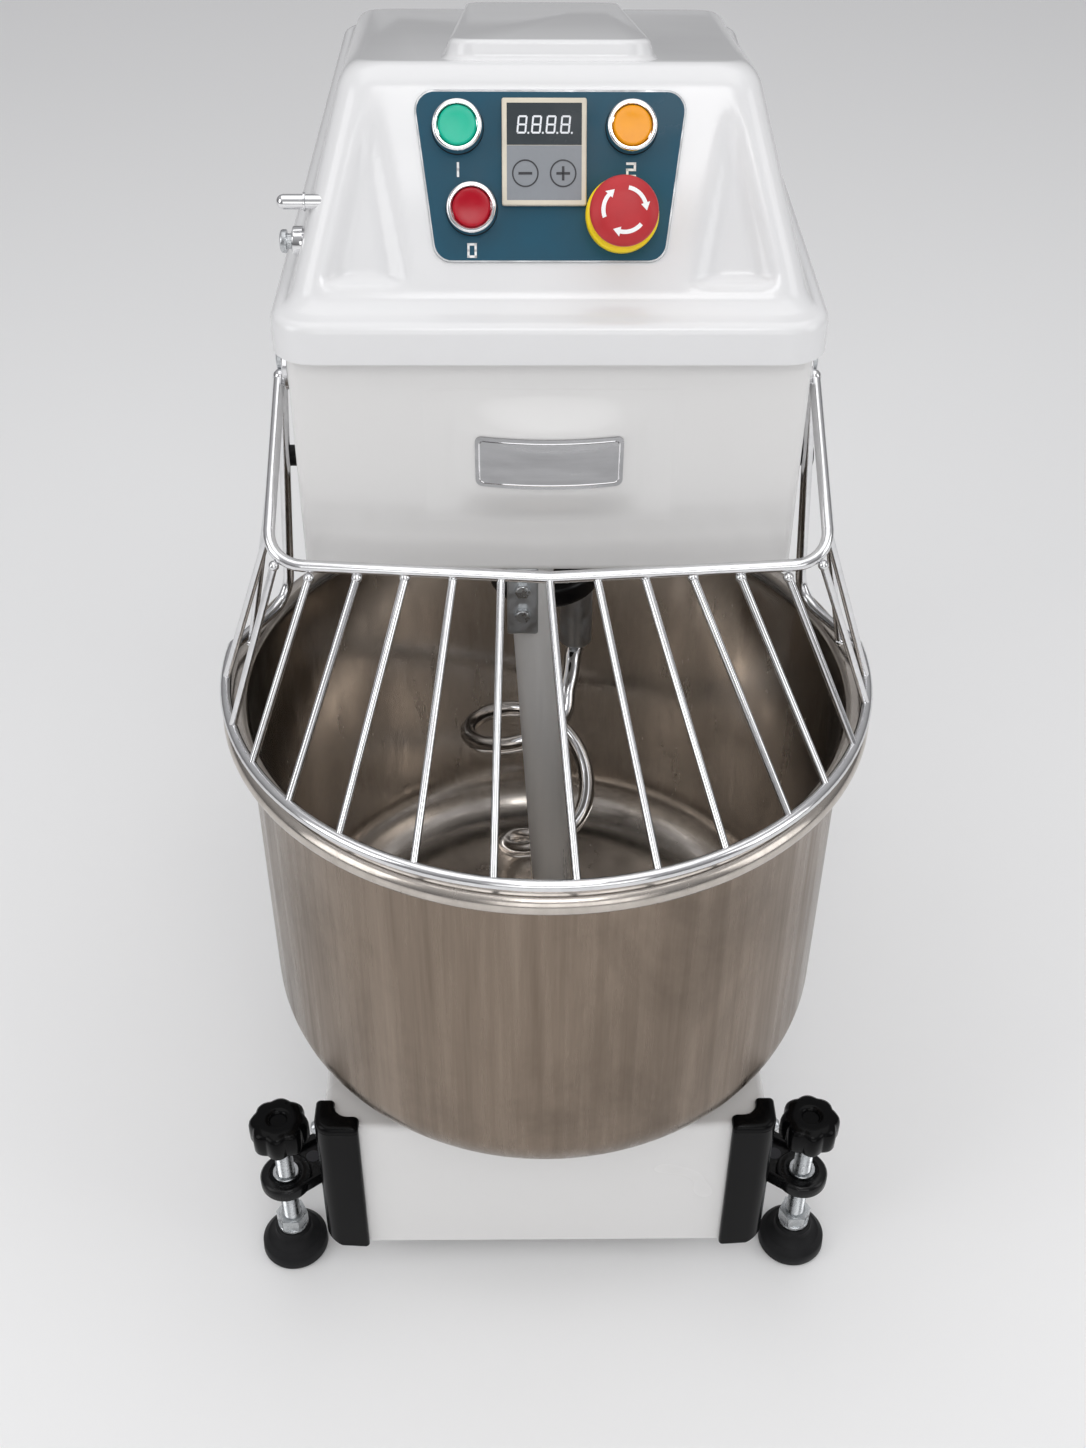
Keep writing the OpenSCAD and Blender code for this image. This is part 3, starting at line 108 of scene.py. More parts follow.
def face_at(node):
    """Place on the control face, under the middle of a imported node."""
    low, high = face_box(node)
    return face_place @ Matrix.Translation(((low.x + high.x) / 2, (low.y + high.y) / 2, 0))


print("the control face slopes by", round(slope * 180 / pi, 1), "degrees")

# %% [markdown]
# ## Helpers
# A bmesh becomes a piece in one place: doubles merged, faces turned outwards, smooth shading
# with the real creases kept sharp, and then it rides on its body.

# %% From bmesh to finished piece
def crease(bm, degrees):
    """Smooth faces, with edges sharper than this angle marked sharp."""
    for face in bm.faces:
        face.smooth = True
    for edge in bm.edges:
        edge.smooth = len(edge.link_faces) == 2 and edge.calc_face_angle(0) < radians(degrees)


def piece(name, bm, body, material, stands_for=(), bevel=0.0, sharp=35):
    """A finished piece from a bmesh, with an optional rounding of its sharp edges."""
    bmesh.ops.remove_doubles(bm, verts=bm.verts, dist=0.000002)
    bmesh.ops.recalc_face_normals(bm, faces=bm.faces)
    crease(bm, 180 if bevel else sharp)
    mesh = bpy.data.meshes.new(name)
    bm.to_mesh(mesh)
    bm.free()
    obj = bpy.data.objects.new(name, mesh)
    scene.collection.objects.link(obj)
    mesh.materials.append(material)
    if bevel:
        rounding = obj.modifiers.new("rounded_edges", "BEVEL")
        rounding.width = bevel
        rounding.segments = 3
        rounding.limit_method = "ANGLE"
        rounding.angle_limit = radians(sharp)
        rounding.harden_normals = True
    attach(obj, body)
    if stands_for:
        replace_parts(obj, *stands_for)
    print(f"{name}: {len(mesh.vertices)} vertices on {body}")
    return obj


# %% Outlines with rounded corners
def turned(v, angle):
    """A flat vector turned by an angle."""
    return Vector((v.x * cos(angle) - v.y * sin(angle), v.x * sin(angle) + v.y * cos(angle)))


def rounded(corners, closed=True, steps=6):
    """Outline through corners (a, b, radius), each corner rounded by its own radius."""
    points = []
    count = len(corners)
    for i, (a, b, radius) in enumerate(corners):
        here = Vector((a, b))
        if radius == 0 or (not closed and i in (0, count - 1)):
            points.append(here)
            continue
        u = (Vector(corners[i - 1][:2]) - here).normalized()
        v = (Vector(corners[(i + 1) % count][:2]) - here).normalized()
        half = u.angle(v) / 2
        centre = here + (u + v).normalized() * radius / sin(half)
        start = here + u * radius / tan(half) - centre
        end = here + v * radius / tan(half) - centre
        turn = atan2(start.x * end.y - start.y * end.x, start.dot(end))
        points += [centre + turned(start, turn * k / steps) for k in range(steps + 1)]
    return points


def oblong(low, high, radius, steps=5):
    """Outline of a rectangle between two corners, all four rounded alike."""
    corners = [(low[0], low[1], radius), (high[0], low[1], radius),
               (high[0], high[1], radius), (low[0], high[1], radius)]
    return rounded(corners, True, steps)


# %% Shapes that are turned, cut from plate, made as blocks or skinned
def spun(bm, outline, steps=96, place=Matrix.Identity(4), closed=True):
    """Turns an outline of (radius, height) about the upright axis, then places it."""
    made = [bm.verts.new((p[0], 0, p[1])) for p in outline]
    edges = [bm.edges.new(pair) for pair in zip(made, made[1:])]
    if closed:
        edges.append(bm.edges.new((made[-1], made[0])))
    before = set(bm.verts) - set(made)
    bmesh.ops.spin(bm, geom=made + edges, cent=(0, 0, 0), axis=(0, 0, 1), angle=2 * pi,
                   steps=steps, use_merge=True, use_duplicate=False)
    new = [vert for vert in bm.verts if vert not in before]
    bmesh.ops.transform(bm, matrix=place, verts=new)


def plate(bm, outline, low, high, place=Matrix.Identity(4)):
    """A plate with a flat outline, from one height to another, then placed."""
    verts = [bm.verts.new((p[0], p[1], low)) for p in outline]
    face = bm.faces.new(verts)
    raised = bmesh.ops.extrude_face_region(bm, geom=[face], use_keep_orig=True)["geom"]
    top = [item for item in raised if isinstance(item, bmesh.types.BMVert)]
    bmesh.ops.translate(bm, vec=(0, 0, high - low), verts=top)
    bmesh.ops.transform(bm, matrix=place, verts=verts + top)


def block(bm, low, high, place=Matrix.Identity(4)):
    """A box between two corners, then placed."""
    size = Vector(high) - Vector(low)
    middle = (Vector(high) + Vector(low)) / 2
    matrix = place @ Matrix.Translation(middle) @ Matrix.Diagonal((*size, 1))
    bmesh.ops.create_cube(bm, size=1, matrix=matrix)


def skin(bm, rows):
    """Faces between closed rows of points, with both ends closed."""
    for low_row, high_row in zip(rows, rows[1:]):
        for k in range(len(low_row)):
            n = (k + 1) % len(low_row)
            bm.faces.new((low_row[k], low_row[n], high_row[n], high_row[k]))
    bm.faces.new(rows[-1])
    bm.faces.new(list(reversed(rows[0])))


def turn_to(direction):
    """A turn that takes the upright axis to a direction."""
    return Vector((0, 0, 1)).rotation_difference(Vector(direction)).to_matrix().to_4x4()


# %% [markdown]
# Wire, rod and tube follow a line. A curve with a round bevel makes a clean tube with capped
# ends, and its mesh is then joined into the bmesh of the piece.

# %% Tubes along a line
def tube(bm, path, radius, facets=5):
    """Round tube along a list of points, with capped ends."""
    curve = bpy.data.curves.new("line", "CURVE")
    curve.dimensions = "3D"
    curve.bevel_depth = radius
    curve.bevel_resolution = facets
    curve.use_fill_caps = True
    line = curve.splines.new("POLY")
    line.points.add(len(path) - 1)
    for point, place in zip(line.points, path):
        point.co = (*place, 1)
    holder = bpy.data.objects.new("line", curve)
    mesh = bpy.data.meshes.new_from_object(holder)
    bm.from_mesh(mesh)
    bpy.data.objects.remove(holder)
    bpy.data.curves.remove(curve)
    bpy.data.meshes.remove(mesh)


BEND_STEPS = 8


def bend(corners, radius):
    """A line in space through corners, with every inner corner bent to a radius."""
    points = [Vector(corners[0])]
    for a, b, c in zip(corners, corners[1:], corners[2:]):
        here = Vector(b)
        u = (Vector(a) - here).normalized()
        v = (Vector(c) - here).normalized()
        half = u.angle(v) / 2
        centre = here + (u + v).normalized() * radius / sin(half)
        start = (here + u * radius / tan(half) - centre).normalized()
        end = (here + v * radius / tan(half) - centre).normalized()
        points += [centre + start.slerp(end, k / BEND_STEPS) * radius for k in range(BEND_STEPS + 1)]
    points.append(Vector(corners[-1]))
    return points


def weld(bm, place, radius):
    """A small round bead of weld."""
    bmesh.ops.create_icosphere(bm, subdivisions=2, radius=radius, matrix=Matrix.Translation(place))

# %% [markdown]
# ## Finishes
# Each finish is a small node tree on Object coordinates, so a pattern has its real size and
# stays on the piece. A helper wires one noise to colour, roughness and a slight bump.

# %% A helper for node trees
def finish(name, colour, metallic=0.0, roughness=0.4, **sockets):
    """A material with its shader's own values set. Returns it with its tree and shader."""
    material = bpy.data.materials.new(name)
    material.use_nodes = True
    tree = material.node_tree
    shader = tree.nodes["Principled BSDF"]
    shader.inputs["Base Color"].default_value = (*colour, 1)
    shader.inputs["Metallic"].default_value = metallic
    shader.inputs["Roughness"].default_value = roughness
    for socket, value in sockets.items():
        shader.inputs[socket.replace("_", " ")].default_value = value
    return material, tree, shader


def pattern(tree, scale, stretch=(1, 1, 1), detail=4.0, roughness=0.6, distortion=0.0):
    """Noise on Object coordinates, in features per metre, stretched along the axes."""
    place = tree.nodes.new("ShaderNodeTexCoord")
    mapping = tree.nodes.new("ShaderNodeMapping")
    noise = tree.nodes.new("ShaderNodeTexNoise")
    mapping.inputs["Scale"].default_value = stretch
    noise.inputs["Scale"].default_value = scale
    noise.inputs["Detail"].default_value = detail
    noise.inputs["Roughness"].default_value = roughness
    noise.inputs["Distortion"].default_value = distortion
    tree.links.new(place.outputs["Object"], mapping.inputs["Vector"])
    tree.links.new(mapping.outputs["Vector"], noise.inputs["Vector"])
    return noise.outputs["Fac"]


def spread(tree, value, low, high, start=0.35, end=0.65):
    """Maps the middle of a noise to a range of values."""
    node = tree.nodes.new("ShaderNodeMapRange")
    node.inputs["From Min"].default_value = start
    node.inputs["From Max"].default_value = end
    node.inputs["To Min"].default_value = low
    node.inputs["To Max"].default_value = high
    tree.links.new(value, node.inputs["Value"])
    return node.outputs["Result"]


def mixed(tree, share, first, second):
    """Mixes two colours, or a colour and a socket, by a share."""
    node = tree.nodes.new("ShaderNodeMix")
    node.data_type = "RGBA"
    for value, socket in ((share, "Factor"), (first, "A"), (second, "B")):
        target = next(s for s in node.inputs if s.name == socket and s.enabled)
        if hasattr(value, "links"):
            tree.links.new(value, target)
        elif socket == "Factor":
            target.default_value = value
        else:
            target.default_value = (*value, 1)
    return next(s for s in node.outputs if s.enabled)


def bumped(tree, shader, height, strength, distance):
    """Adds a height to the surface's normal. The distance is in metres."""
    node = tree.nodes.new("ShaderNodeBump")
    node.inputs["Strength"].default_value = strength
    node.inputs["Distance"].default_value = distance
    tree.links.new(height, node.inputs["Height"])
    tree.links.new(node.outputs["Normal"], shader.inputs["Normal"])


# %% [markdown]
# White enamel is smooth and glossy, but never quite even: a slight orange peel bends the
# reflections, and handling leaves faint duller patches.

# %% White enamel and the white moulding
def enamel(name, colour, roughness, peel):
    """Gloss paint with faint duller patches and an orange peel of the given depth."""
    material, tree, shader = finish(name, colour, 0.0, roughness, Coat_Weight=0.3, Coat_Roughness=0.08)
    cloud = pattern(tree, 7, detail=2)
    shade = mixed(tree, spread(tree, cloud, 0, 1, 0.2, 0.8), colour, [c * 0.985 for c in colour])
    tree.links.new(shade, shader.inputs["Base Color"])
    gloss = spread(tree, cloud, roughness * 0.92, roughness * 1.1, 0.2, 0.8)
    tree.links.new(gloss, shader.inputs["Roughness"])
    bumped(tree, shader, pattern(tree, 260, detail=2), peel, 0.0002)
    return material


white_enamel = enamel("white_enamel", (0.76, 0.753, 0.745), 0.26, 0.12)
white_moulding = enamel("white_moulding", (0.78, 0.78, 0.787), 0.20, 0.06)
frame_primer = enamel("frame_primer", (0.30, 0.31, 0.32), 0.55, 0.3)

# %% [markdown]
# The bowl is spun and then brushed up and down: fine upright streaks and broad darker stains from use. The
# outside's dark, warm brown base colour is a painted reflection of dark surroundings, not the steel's own
# tone. Noise that is stretched along Z draws the streaks all the way round the wall, and they follow the
# bowl as it turns.

# %% Brushed and polished steels
def steel(name, bright, dark, roughness, streak_scale, stretch, depth=0.08, stain=0.5, metallic=1.0):
    """Bare steel with streaks along one axis and broad stains."""
    material, tree, shader = finish(name, bright, metallic, roughness)
    streaks = pattern(tree, streak_scale, stretch, detail=6, roughness=0.7)
    fine = pattern(tree, streak_scale * 4, stretch, detail=3, roughness=0.6)
    stains = pattern(tree, 7, (1, 1, 0.7), detail=6, roughness=0.65, distortion=0.6)
    brushed = mixed(tree, spread(tree, streaks, 0, 0.8, 0.3, 0.7), bright, dark)
    stained = mixed(tree, spread(tree, stains, 0, stain, 0.45, 0.75), brushed, [c * 0.55 for c in dark])
    tree.links.new(stained, shader.inputs["Base Color"])
    tree.links.new(spread(tree, streaks, roughness * 0.7, roughness * 1.4), shader.inputs["Roughness"])
    bumped(tree, shader, fine, depth, 0.00012)
    return material


# The outside's dark, warm brown colour is painted reflection: it stands in for dark surroundings seen in the
# steel.
bowl_outside = steel("bowl_brushed", (0.30, 0.240, 0.190), (0.17, 0.130, 0.098), 0.27, 60, (1, 1, 0.035),
                     depth=0.2, stain=0.7)
polished = steel("polished_steel", (0.64, 0.59, 0.54), (0.46, 0.42, 0.38), 0.20, 40, (1, 1, 0.2),
                 depth=0.05, stain=0.2)
bright_bar = steel("bright_bar", (0.95, 0.945, 0.935), (0.88, 0.875, 0.865), 0.34, 70, (1, 1, 0.05),
                   depth=0.02, stain=0.02, metallic=0.55)
guard_wire = steel("bright_wire", (0.80, 0.80, 0.81), (0.66, 0.66, 0.67), 0.14, 80, (1, 1, 1),
                   depth=0.06, stain=0.1)
satin = steel("satin_steel", (0.50, 0.51, 0.52), (0.42, 0.43, 0.44), 0.42, 90, (1, 1, 1),
              depth=0.1, stain=0.2)
zinc = steel("bright_zinc", (0.66, 0.68, 0.69), (0.52, 0.54, 0.56), 0.26, 120, (1, 1, 1),
             depth=0.12, stain=0.35)
chrome = steel("chrome_plate", (0.83, 0.83, 0.84), (0.74, 0.74, 0.75), 0.07, 60, (1, 1, 1),
               depth=0.02, stain=0.05)
badge_steel = steel("badge_brushed", (0.48, 0.48, 0.49), (0.34, 0.34, 0.35), 0.32, 45, (0.06, 1, 1),
                    depth=0.25, stain=0.1)
ground_steel = steel("ground_shaft", (0.56, 0.56, 0.57), (0.46, 0.46, 0.47), 0.3, 200, (1, 1, 0.2))
machined = steel("machined_iron", (0.30, 0.30, 0.31), (0.22, 0.22, 0.23), 0.42, 150, (1, 1, 0.3),
                 stain=0.3)

# %% [markdown]
# Dark parts need two blacks at least: a gloss moulding that shows its mould's polish, and a
# casting under enamel that keeps the sand's grain. Rubber is duller and slightly grey.

# %% Mouldings, castings and rubber
def moulded(name, colour, roughness=0.3, grain=400, depth=0.05, shine=0.5):
    """Moulded or cast material with a fine grain and uneven gloss."""
    material, tree, shader = finish(name, colour, 0.0, roughness, Specular_IOR_Level=shine)
    wear = pattern(tree, 22, detail=5)
    paler = [min(1, c * 1.3 + 0.001) for c in colour]
    tree.links.new(mixed(tree, spread(tree, wear, 0, 0.8), colour, paler), shader.inputs["Base Color"])
    tree.links.new(spread(tree, wear, roughness * 0.75, roughness * 1.35), shader.inputs["Roughness"])
    bumped(tree, shader, pattern(tree, grain, detail=3), depth, 0.0002)
    return material


black_moulding = moulded("black_moulding", (0.002, 0.002, 0.0022), 0.16, 300, 0.04, shine=0.10)
black_casting = moulded("black_casting", (0.004, 0.004, 0.0044), 0.24, 260, 0.9, shine=0.25)
black_rubber = moulded("black_rubber", (0.009, 0.009, 0.0098), 0.5, 500, 0.15, shine=0.15)
wheel_rubber = moulded("wheel_rubber", (0.05, 0.05, 0.052), 0.55, 400, 0.15)
panel_teal = moulded("panel_teal", (0.010, 0.066, 0.108), 0.36, 700, 0.03, shine=0.22)
# Black plastic; the same black is also painted shade in the louvre slots and the screws' cross recesses.
black_plastic_and_shade = moulded("black_plastic_and_shade", (0.03, 0.03, 0.032), 0.5, 300, 0.1)
motor_enamel = moulded("motor_enamel", (0.07, 0.13, 0.20), 0.4, 220, 0.5)
green_cap = moulded("green_cap", (0.003, 0.42, 0.27), 0.16, 200, 0.02, shine=0.25)
amber_cap = moulded("amber_cap", (0.84, 0.31, 0.0), 0.16, 200, 0.02, shine=0.25)
red_cap = moulded("red_cap", (0.40, 0.002, 0.014), 0.16, 200, 0.02, shine=0.25)
stop_red = moulded("stop_red", (0.44, 0.030, 0.036), 0.34, 400, 0.05, shine=0.25)
stop_yellow = moulded("stop_yellow", (0.93, 0.62, 0.0), 0.35, 300, 0.05)
timer_frame = moulded("timer_frame", (0.60, 0.55, 0.45), 0.4, 300, 0.05)
timer_grey = moulded("timer_grey", (0.20, 0.215, 0.235), 0.35, 300, 0.03)
window_dark = moulded("timer_window", (0.022, 0.030, 0.036), 0.3, 200, 0.01, shine=0.2)
digit_pale = moulded("digit_pale", (0.72, 0.74, 0.78), 0.4, 200, 0.02)
print_white = moulded("print_white", (0.86, 0.86, 0.86), 0.45, 200, 0.02)
# Black print; the same black is also painted shade in the bracket holes.
black_print_and_shade = moulded("black_print_and_shade", (0.015, 0.015, 0.02), 0.4, 200, 0.02)
print(len(bpy.data.materials), "finishes")

# %% [markdown]
# ## The hood
# The hood is one thin moulding: a level lip band, a hollow curve up to walls that lean in,
# and a raised pad on top. It is drawn as a stack of level rounded outlines bridged one to the
# next, and then its top is let down so that it falls to the back.

# %% Heights and sizes of the hood
LIP_HEIGHT = 0.024
LIP_EDGE_R = 0.006
LIP_CORNER_R = 0.025
SCOOP_H = 0.009
HOOD_WALL = 0.0035
RING_STEPS = 6
FRONT_SHARE = 56
BACK_SHARE = 6
TOP_EDGE_R = 0.013
WALL_X = (0.150, 0.115)
WALL_BACK = 0.0102
BODY_CORNER_R = 0.017
HOOD_FALL = 0.2218
PAD_RISE = 0.011
top_z = hood_low.z + 0.142
pad_z = top_z + PAD_RISE
shelf_z = hood_low.z + LIP_HEIGHT


def face_y_at(z):
    """Depth of the control face at a height."""
    return face_foot.y + (z - face_foot.z) / tan(slope)


def half_at(z):
    """Half width between the leaning walls at a height."""
    return WALL_X[0] + (WALL_X[1] - WALL_X[0]) * (z - shelf_z) / (top_z - shelf_z)


def ring(bm, half, front, back, z, radius):
    """One level outline, with the same count of points whatever its size."""
    outline = oblong((-half, front), (half, back), radius, RING_STEPS)
    points = []
    for i, p in enumerate(outline):
        q = outline[(i + 1) % len(outline)]
        straight = i % (RING_STEPS + 1) == RING_STEPS
        share = FRONT_SHARE if i == RING_STEPS else (BACK_SHARE if straight else 1)
        points += [p.lerp(q, k / share) for k in range(share)]
    verts = [bm.verts.new((p.x, p.y, z)) for p in points]
    return [bm.edges.new(pair) for pair in zip(verts, verts[1:] + verts[:1])]


def loft(bm, rings):
    """Bridges each ring with the next."""
    for low, high in zip(rings, rings[1:]):
        bmesh.ops.bridge_loops(bm, edges=low + high)


def ring_face(bm, edges, flip=False):
    """Closes a ring with one face."""
    order = [edge.verts[0] for edge in edges]
    return bm.faces.new(list(reversed(order)) if flip else order)


# %% [markdown]
# The front corners of the face are pressed in. A flat facet on each side leaves a raised
# plateau for the controls in the middle, deepest at the ledge and fading out near the top.
# The lip's top face turns up into the walls through the hollow curve.

# %% Facets beside the control plateau
PLATEAU_X = (0.0790, 0.0990)
PLATEAU_S = (0.0094, 0.1207)
FACET_DEPTH = 0.0072
STEP_W = 0.013


def ease(share):
    """A smooth step from 0 to 1."""
    share = min(1, max(0, share))
    return share * share * (3 - 2 * share)


def press_facets(bm):
    """Moves the front wall in beside the plateau."""
    back = face_place.inverted()
    for vert in bm.verts:
        local = back @ vert.co
        if abs(local.z) > 0.002 or not 0.004 < local.y < 0.125:
            continue
        share = (local.y - PLATEAU_S[0]) / (PLATEAU_S[1] - PLATEAU_S[0])
        edge = PLATEAU_X[0] + (PLATEAU_X[1] - PLATEAU_X[0]) * share
        half = half_at(vert.co.z)
        side = ease((abs(local.x) - edge) / STEP_W)
        outer = 1 - ease((abs(local.x) - half + BODY_CORNER_R + 0.010) / 0.012)
        rise = ease((local.y - 0.006) / 0.008)
        fade = 1 - ease((share - 0.70) / 0.28)
        vert.co += inward * FACET_DEPTH * (1 - 0.6 * share) * side * outer * rise * fade


# %% How the top falls to the back
def settled(up, tall):
    """Height over the shelf where the walls are only this tall. Curves keep their size if they can."""
    full = top_z - shelf_z
    low, high = min(SCOOP_H, 0.35 * tall), min(TOP_EDGE_R, 0.55 * tall)
    if up < SCOOP_H:
        return up * low / SCOOP_H
    if up > full - TOP_EDGE_R:
        return tall - (full - up) * high / TOP_EDGE_R
    return low + (up - SCOOP_H) * (tall - low - high) / (full - SCOOP_H - TOP_EDGE_R)


def let_down(bm):
    """Lowers the top towards the back and keeps the walls on their lean."""
    top_y = face_y_at(top_z)
    for vert in bm.verts:
        x, y, z = vert.co
        if z > shelf_z and y > top_y:
            tall = top_z - shelf_z - HOOD_FALL * (y - top_y)
            vert.co.z = shelf_z + settled(z - shelf_z, tall)
            vert.co.x = x * half_at(vert.co.z) / half_at(z)


# %% The hood's outside, from the lip's edge to the middle of its top
def hood_outside(bm):
    """Rings of the lip, the hollow curve, the leaning walls and the rounded top edge."""
    front, back, lip = hood_low.y, hood_high.y, hood_high.x
    rear = back - WALL_BACK
    rings = [ring(bm, lip, front, back, hood_low.z, LIP_CORNER_R)]
    for k in range(5):
        a = k * pi / 8
        inset = LIP_EDGE_R * (1 - cos(a))
        z = shelf_z - LIP_EDGE_R * (1 - sin(a))
        rings.append(ring(bm, lip - inset, front + inset, back - inset, z, LIP_CORNER_R - inset))
    for k in range(1, 6):
        a = k / 5 * pi / 2
        z = shelf_z + SCOOP_H * (1 - cos(a))
        out = 1 - sin(a)
        rings.append(ring(bm, half_at(z) + 0.0034 * out, face_y_at(z) - 0.009 * out,
                          rear + 0.0034 * out, z, BODY_CORNER_R + 0.004 * out))
    low, high = shelf_z + SCOOP_H, top_z - TOP_EDGE_R
    for k in range(1, 37):
        z = low + (high - low) * k / 36
        rings.append(ring(bm, half_at(z), face_y_at(z), rear, z, BODY_CORNER_R))
    for k in range(1, 8):
        a = k / 7 * pi / 2
        z = high + TOP_EDGE_R * sin(a)
        inset = TOP_EDGE_R * (1 - cos(a)) * 0.7
        rings.append(ring(bm, half_at(z) - inset, face_y_at(z) + inset, rear - inset * 1.4, z,
                          BODY_CORNER_R))
    loft(bm, rings)
    press_facets(bm)
    let_down(bm)
    return rings[-1]


bm = bmesh.new()
top_edge = hood_outside(bm)
ring_face(bm, top_edge)
bmesh.ops.recalc_face_normals(bm, faces=bm.faces)
bmesh.ops.solidify(bm, geom=bm.faces[:], thickness=HOOD_WALL)
print(len(bm.verts), "points on the hood's wall")

# %% The raised pad, and the finished hood
PAD_HALF, PAD_FRONT, PAD_BACK = 0.0632, -0.1010, 0.2661
PAD_CORNER_R = 0.018
PAD_EDGE = 0.0035


def pad_ring(inset, z, radius):
    """One outline of the pad, drawn in more at its back than at its front."""
    return ring(bm, PAD_HALF - inset, PAD_FRONT + inset, PAD_BACK - inset * 1.4, z, radius)


pad_stack = [pad_ring(0, top_z - 0.001, PAD_CORNER_R)]
for k in range(1, 4):
    a = k / 3 * pi / 2
    inset = 0.0045 * sin(a)
    pad_stack.append(pad_ring(inset, top_z + PAD_EDGE * (1 - cos(a)), PAD_CORNER_R - inset / 2))
for k in range(6):
    a = k / 5 * pi / 2
    inset = 0.0058 + PAD_EDGE * (1 - cos(a))
    pad_stack.append(pad_ring(inset, pad_z - PAD_EDGE * (1 - sin(a)), 0.015))
loft(bm, pad_stack)
for vert in {end for edges in pad_stack for edge in edges for end in edge.verts}:
    vert.co.z -= HOOD_FALL * (vert.co.y - face_y_at(top_z))
ring_face(bm, pad_stack[-1])
ring_face(bm, pad_stack[0], flip=True)
piece("moulded_hood", bm, "frame", white_moulding, ("hood",), sharp=50)

# %% [markdown]
# ## The body
# The sheet-metal body is a C seen from the side: a column, a deep head and an open bottom on
# the base. Its long edges are bent, so they get real radii, and the front carries a shallow
# pressed swelling for the badge.

# %% The C-shaped body
EDGE_BEND = 0.006
BADGE_R = 0.197
SWELLING = 0.0088
BADGE_MARGIN = (0.030, 0.028)
BADGE_T = 0.0011
COUNT = 40
column_y = bowl_axis.y + 0.230
head_z = hook_axis.z
badge_low, badge_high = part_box("badge_plate")
badge_z = (badge_low.z + badge_high.z) / 2
face_front = shell_low.y + 0.009
corners = [(column_y, shell_low.z, 0), (column_y, head_z, 0.022), (face_front, head_z, 0.006),
           (face_front, shell_high.z, 0), (shell_high.y, shell_high.z, 0),
           (shell_high.y, shell_low.z, 0)]
side_view = rounded(corners, True, 8)
upright = Matrix(((0, 0, 1, 0), (1, 0, 0, 0), (0, 1, 0, 0), (0, 0, 0, 1)))
bm = bmesh.new()
plate(bm, side_view, shell_low.x, shell_high.x, upright)
long_edges = [edge for edge in bm.edges if abs(edge.verts[0].co.x - edge.verts[1].co.x) < 0.0001
              and edge.verts[0].co.z > shell_low.z + 0.001 and edge.verts[1].co.z < shell_high.z + 0.001
              and max(v.co.y for v in edge.verts) < shell_high.y - 0.001]
bmesh.ops.bevel(bm, geom=long_edges, offset=EDGE_BEND, offset_type="OFFSET", segments=5, profile=0.5,
                affect="EDGES", material=-1)
piece("body_sheet", bm, "frame", white_enamel, ("body_shell",), sharp=40)

# %% The pressed swelling behind the badge
bm = bmesh.new()
half_w, half_h = (badge_high.x - badge_low.x) / 2, (badge_high.z - badge_low.z) / 2
grid = []
for j in range(COUNT + 1):
    row = []
    for i in range(COUNT + 1):
        u, v = i / COUNT * 2 - 1, j / COUNT * 2 - 1
        x, z = u * (badge_high.x + BADGE_MARGIN[0]), v * (half_h + BADGE_MARGIN[1])
        depth = sqrt(max(0, BADGE_R ** 2 - x ** 2)) - BADGE_R + SWELLING
        side = 1 - ease((abs(x) - badge_high.x) / BADGE_MARGIN[0])
        edge = 1 - ease((abs(z) - half_h) / BADGE_MARGIN[1])
        row.append(bm.verts.new((x, face_front - max(0, depth) * side * edge - 0.0001, badge_z + z)))
    grid.append(row)
for low_row, high_row in zip(grid, grid[1:]):
    for k in range(COUNT):
        bm.faces.new((low_row[k], low_row[k + 1], high_row[k + 1], high_row[k]))
bmesh.ops.recalc_face_normals(bm, faces=bm.faces)
bmesh.ops.solidify(bm, geom=bm.faces[:], thickness=0.0008)
piece("badge_swelling", bm, "frame", white_enamel, sharp=60)

# %% [markdown]
# The badge is a bare brushed plate, rolled to the swelling's curve, with a bright turned edge. It carries no
# lettering.

# %% The bare badge plate
bm = bmesh.new()
plate(bm, oblong((-half_w, -half_h), (half_w, half_h), 0.004), 0, BADGE_T)
bmesh.ops.subdivide_edges(bm, edges=[e for e in bm.edges if e.calc_length() > 0.03], cuts=24,
                          use_grid_fill=True)
bmesh.ops.connect_verts_concave(bm, faces=bm.faces[:])
for vert in bm.verts:
    x, up, out = vert.co
    curve = BADGE_R - sqrt(BADGE_R ** 2 - x ** 2)
    vert.co = (x, badge_low.y + BADGE_T - out + curve, badge_z + up)
piece("bare_badge", bm, "frame", badge_steel, ("badge_plate",), sharp=30)
bm = bmesh.new()
rim = oblong((-half_w + 0.0025, -half_h + 0.0025), (half_w - 0.0025, half_h - 0.0025), 0.003, 6)
line = []
for p, q in zip(rim, rim[1:] + rim[:1]):
    count = max(1, int((q - p).length / 0.004))
    line += [p.lerp(q, k / count) for k in range(count)]
line.append(line[0])
path = [(p.x, badge_low.y + 0.0004 + BADGE_R - sqrt(BADGE_R ** 2 - p.x ** 2), badge_z + p.y)
        for p in line]
tube(bm, path, 0.0006, 2)
piece("badge_edge", bm, "frame", chrome)

# %% [markdown]
# ## The base
# The base is a shallow box with the same soft front edge, standing on the castors and feet.

# %% The base cover
bm = bmesh.new()
plate(bm, oblong(base_low, base_high, 0.008, 6), base_low.z, base_high.z)
top_front = [edge for edge in bm.edges if min(v.co.z for v in edge.verts) > base_high.z - 0.0001
             and min(v.co.y for v in edge.verts) < base_high.y - 0.010]
bmesh.ops.bevel(bm, geom=top_front, offset=0.0055, offset_type="OFFSET", segments=4, profile=0.5,
                affect="EDGES", material=-1)
piece("base_sheet", bm, "frame", white_enamel, ("base_cover",), sharp=40)

# %% A folded joint line between the base and the body
bm = bmesh.new()
seam = oblong((shell_low.x - 0.0006, column_y - 0.0006), (shell_high.x + 0.0006, shell_high.y - 0.001),
              0.006)
line = [(p.x, p.y, base_high.z + 0.0004) for p in seam + seam[:1]]
tube(bm, line, 0.0009, 2)
piece("body_seal", bm, "frame", black_rubber)

# %% [markdown]
# ## The rear panel
# A screwed-on panel closes the back, with two banks of louvres over the motor. Each louvre is
# a pressed hood over its slot.

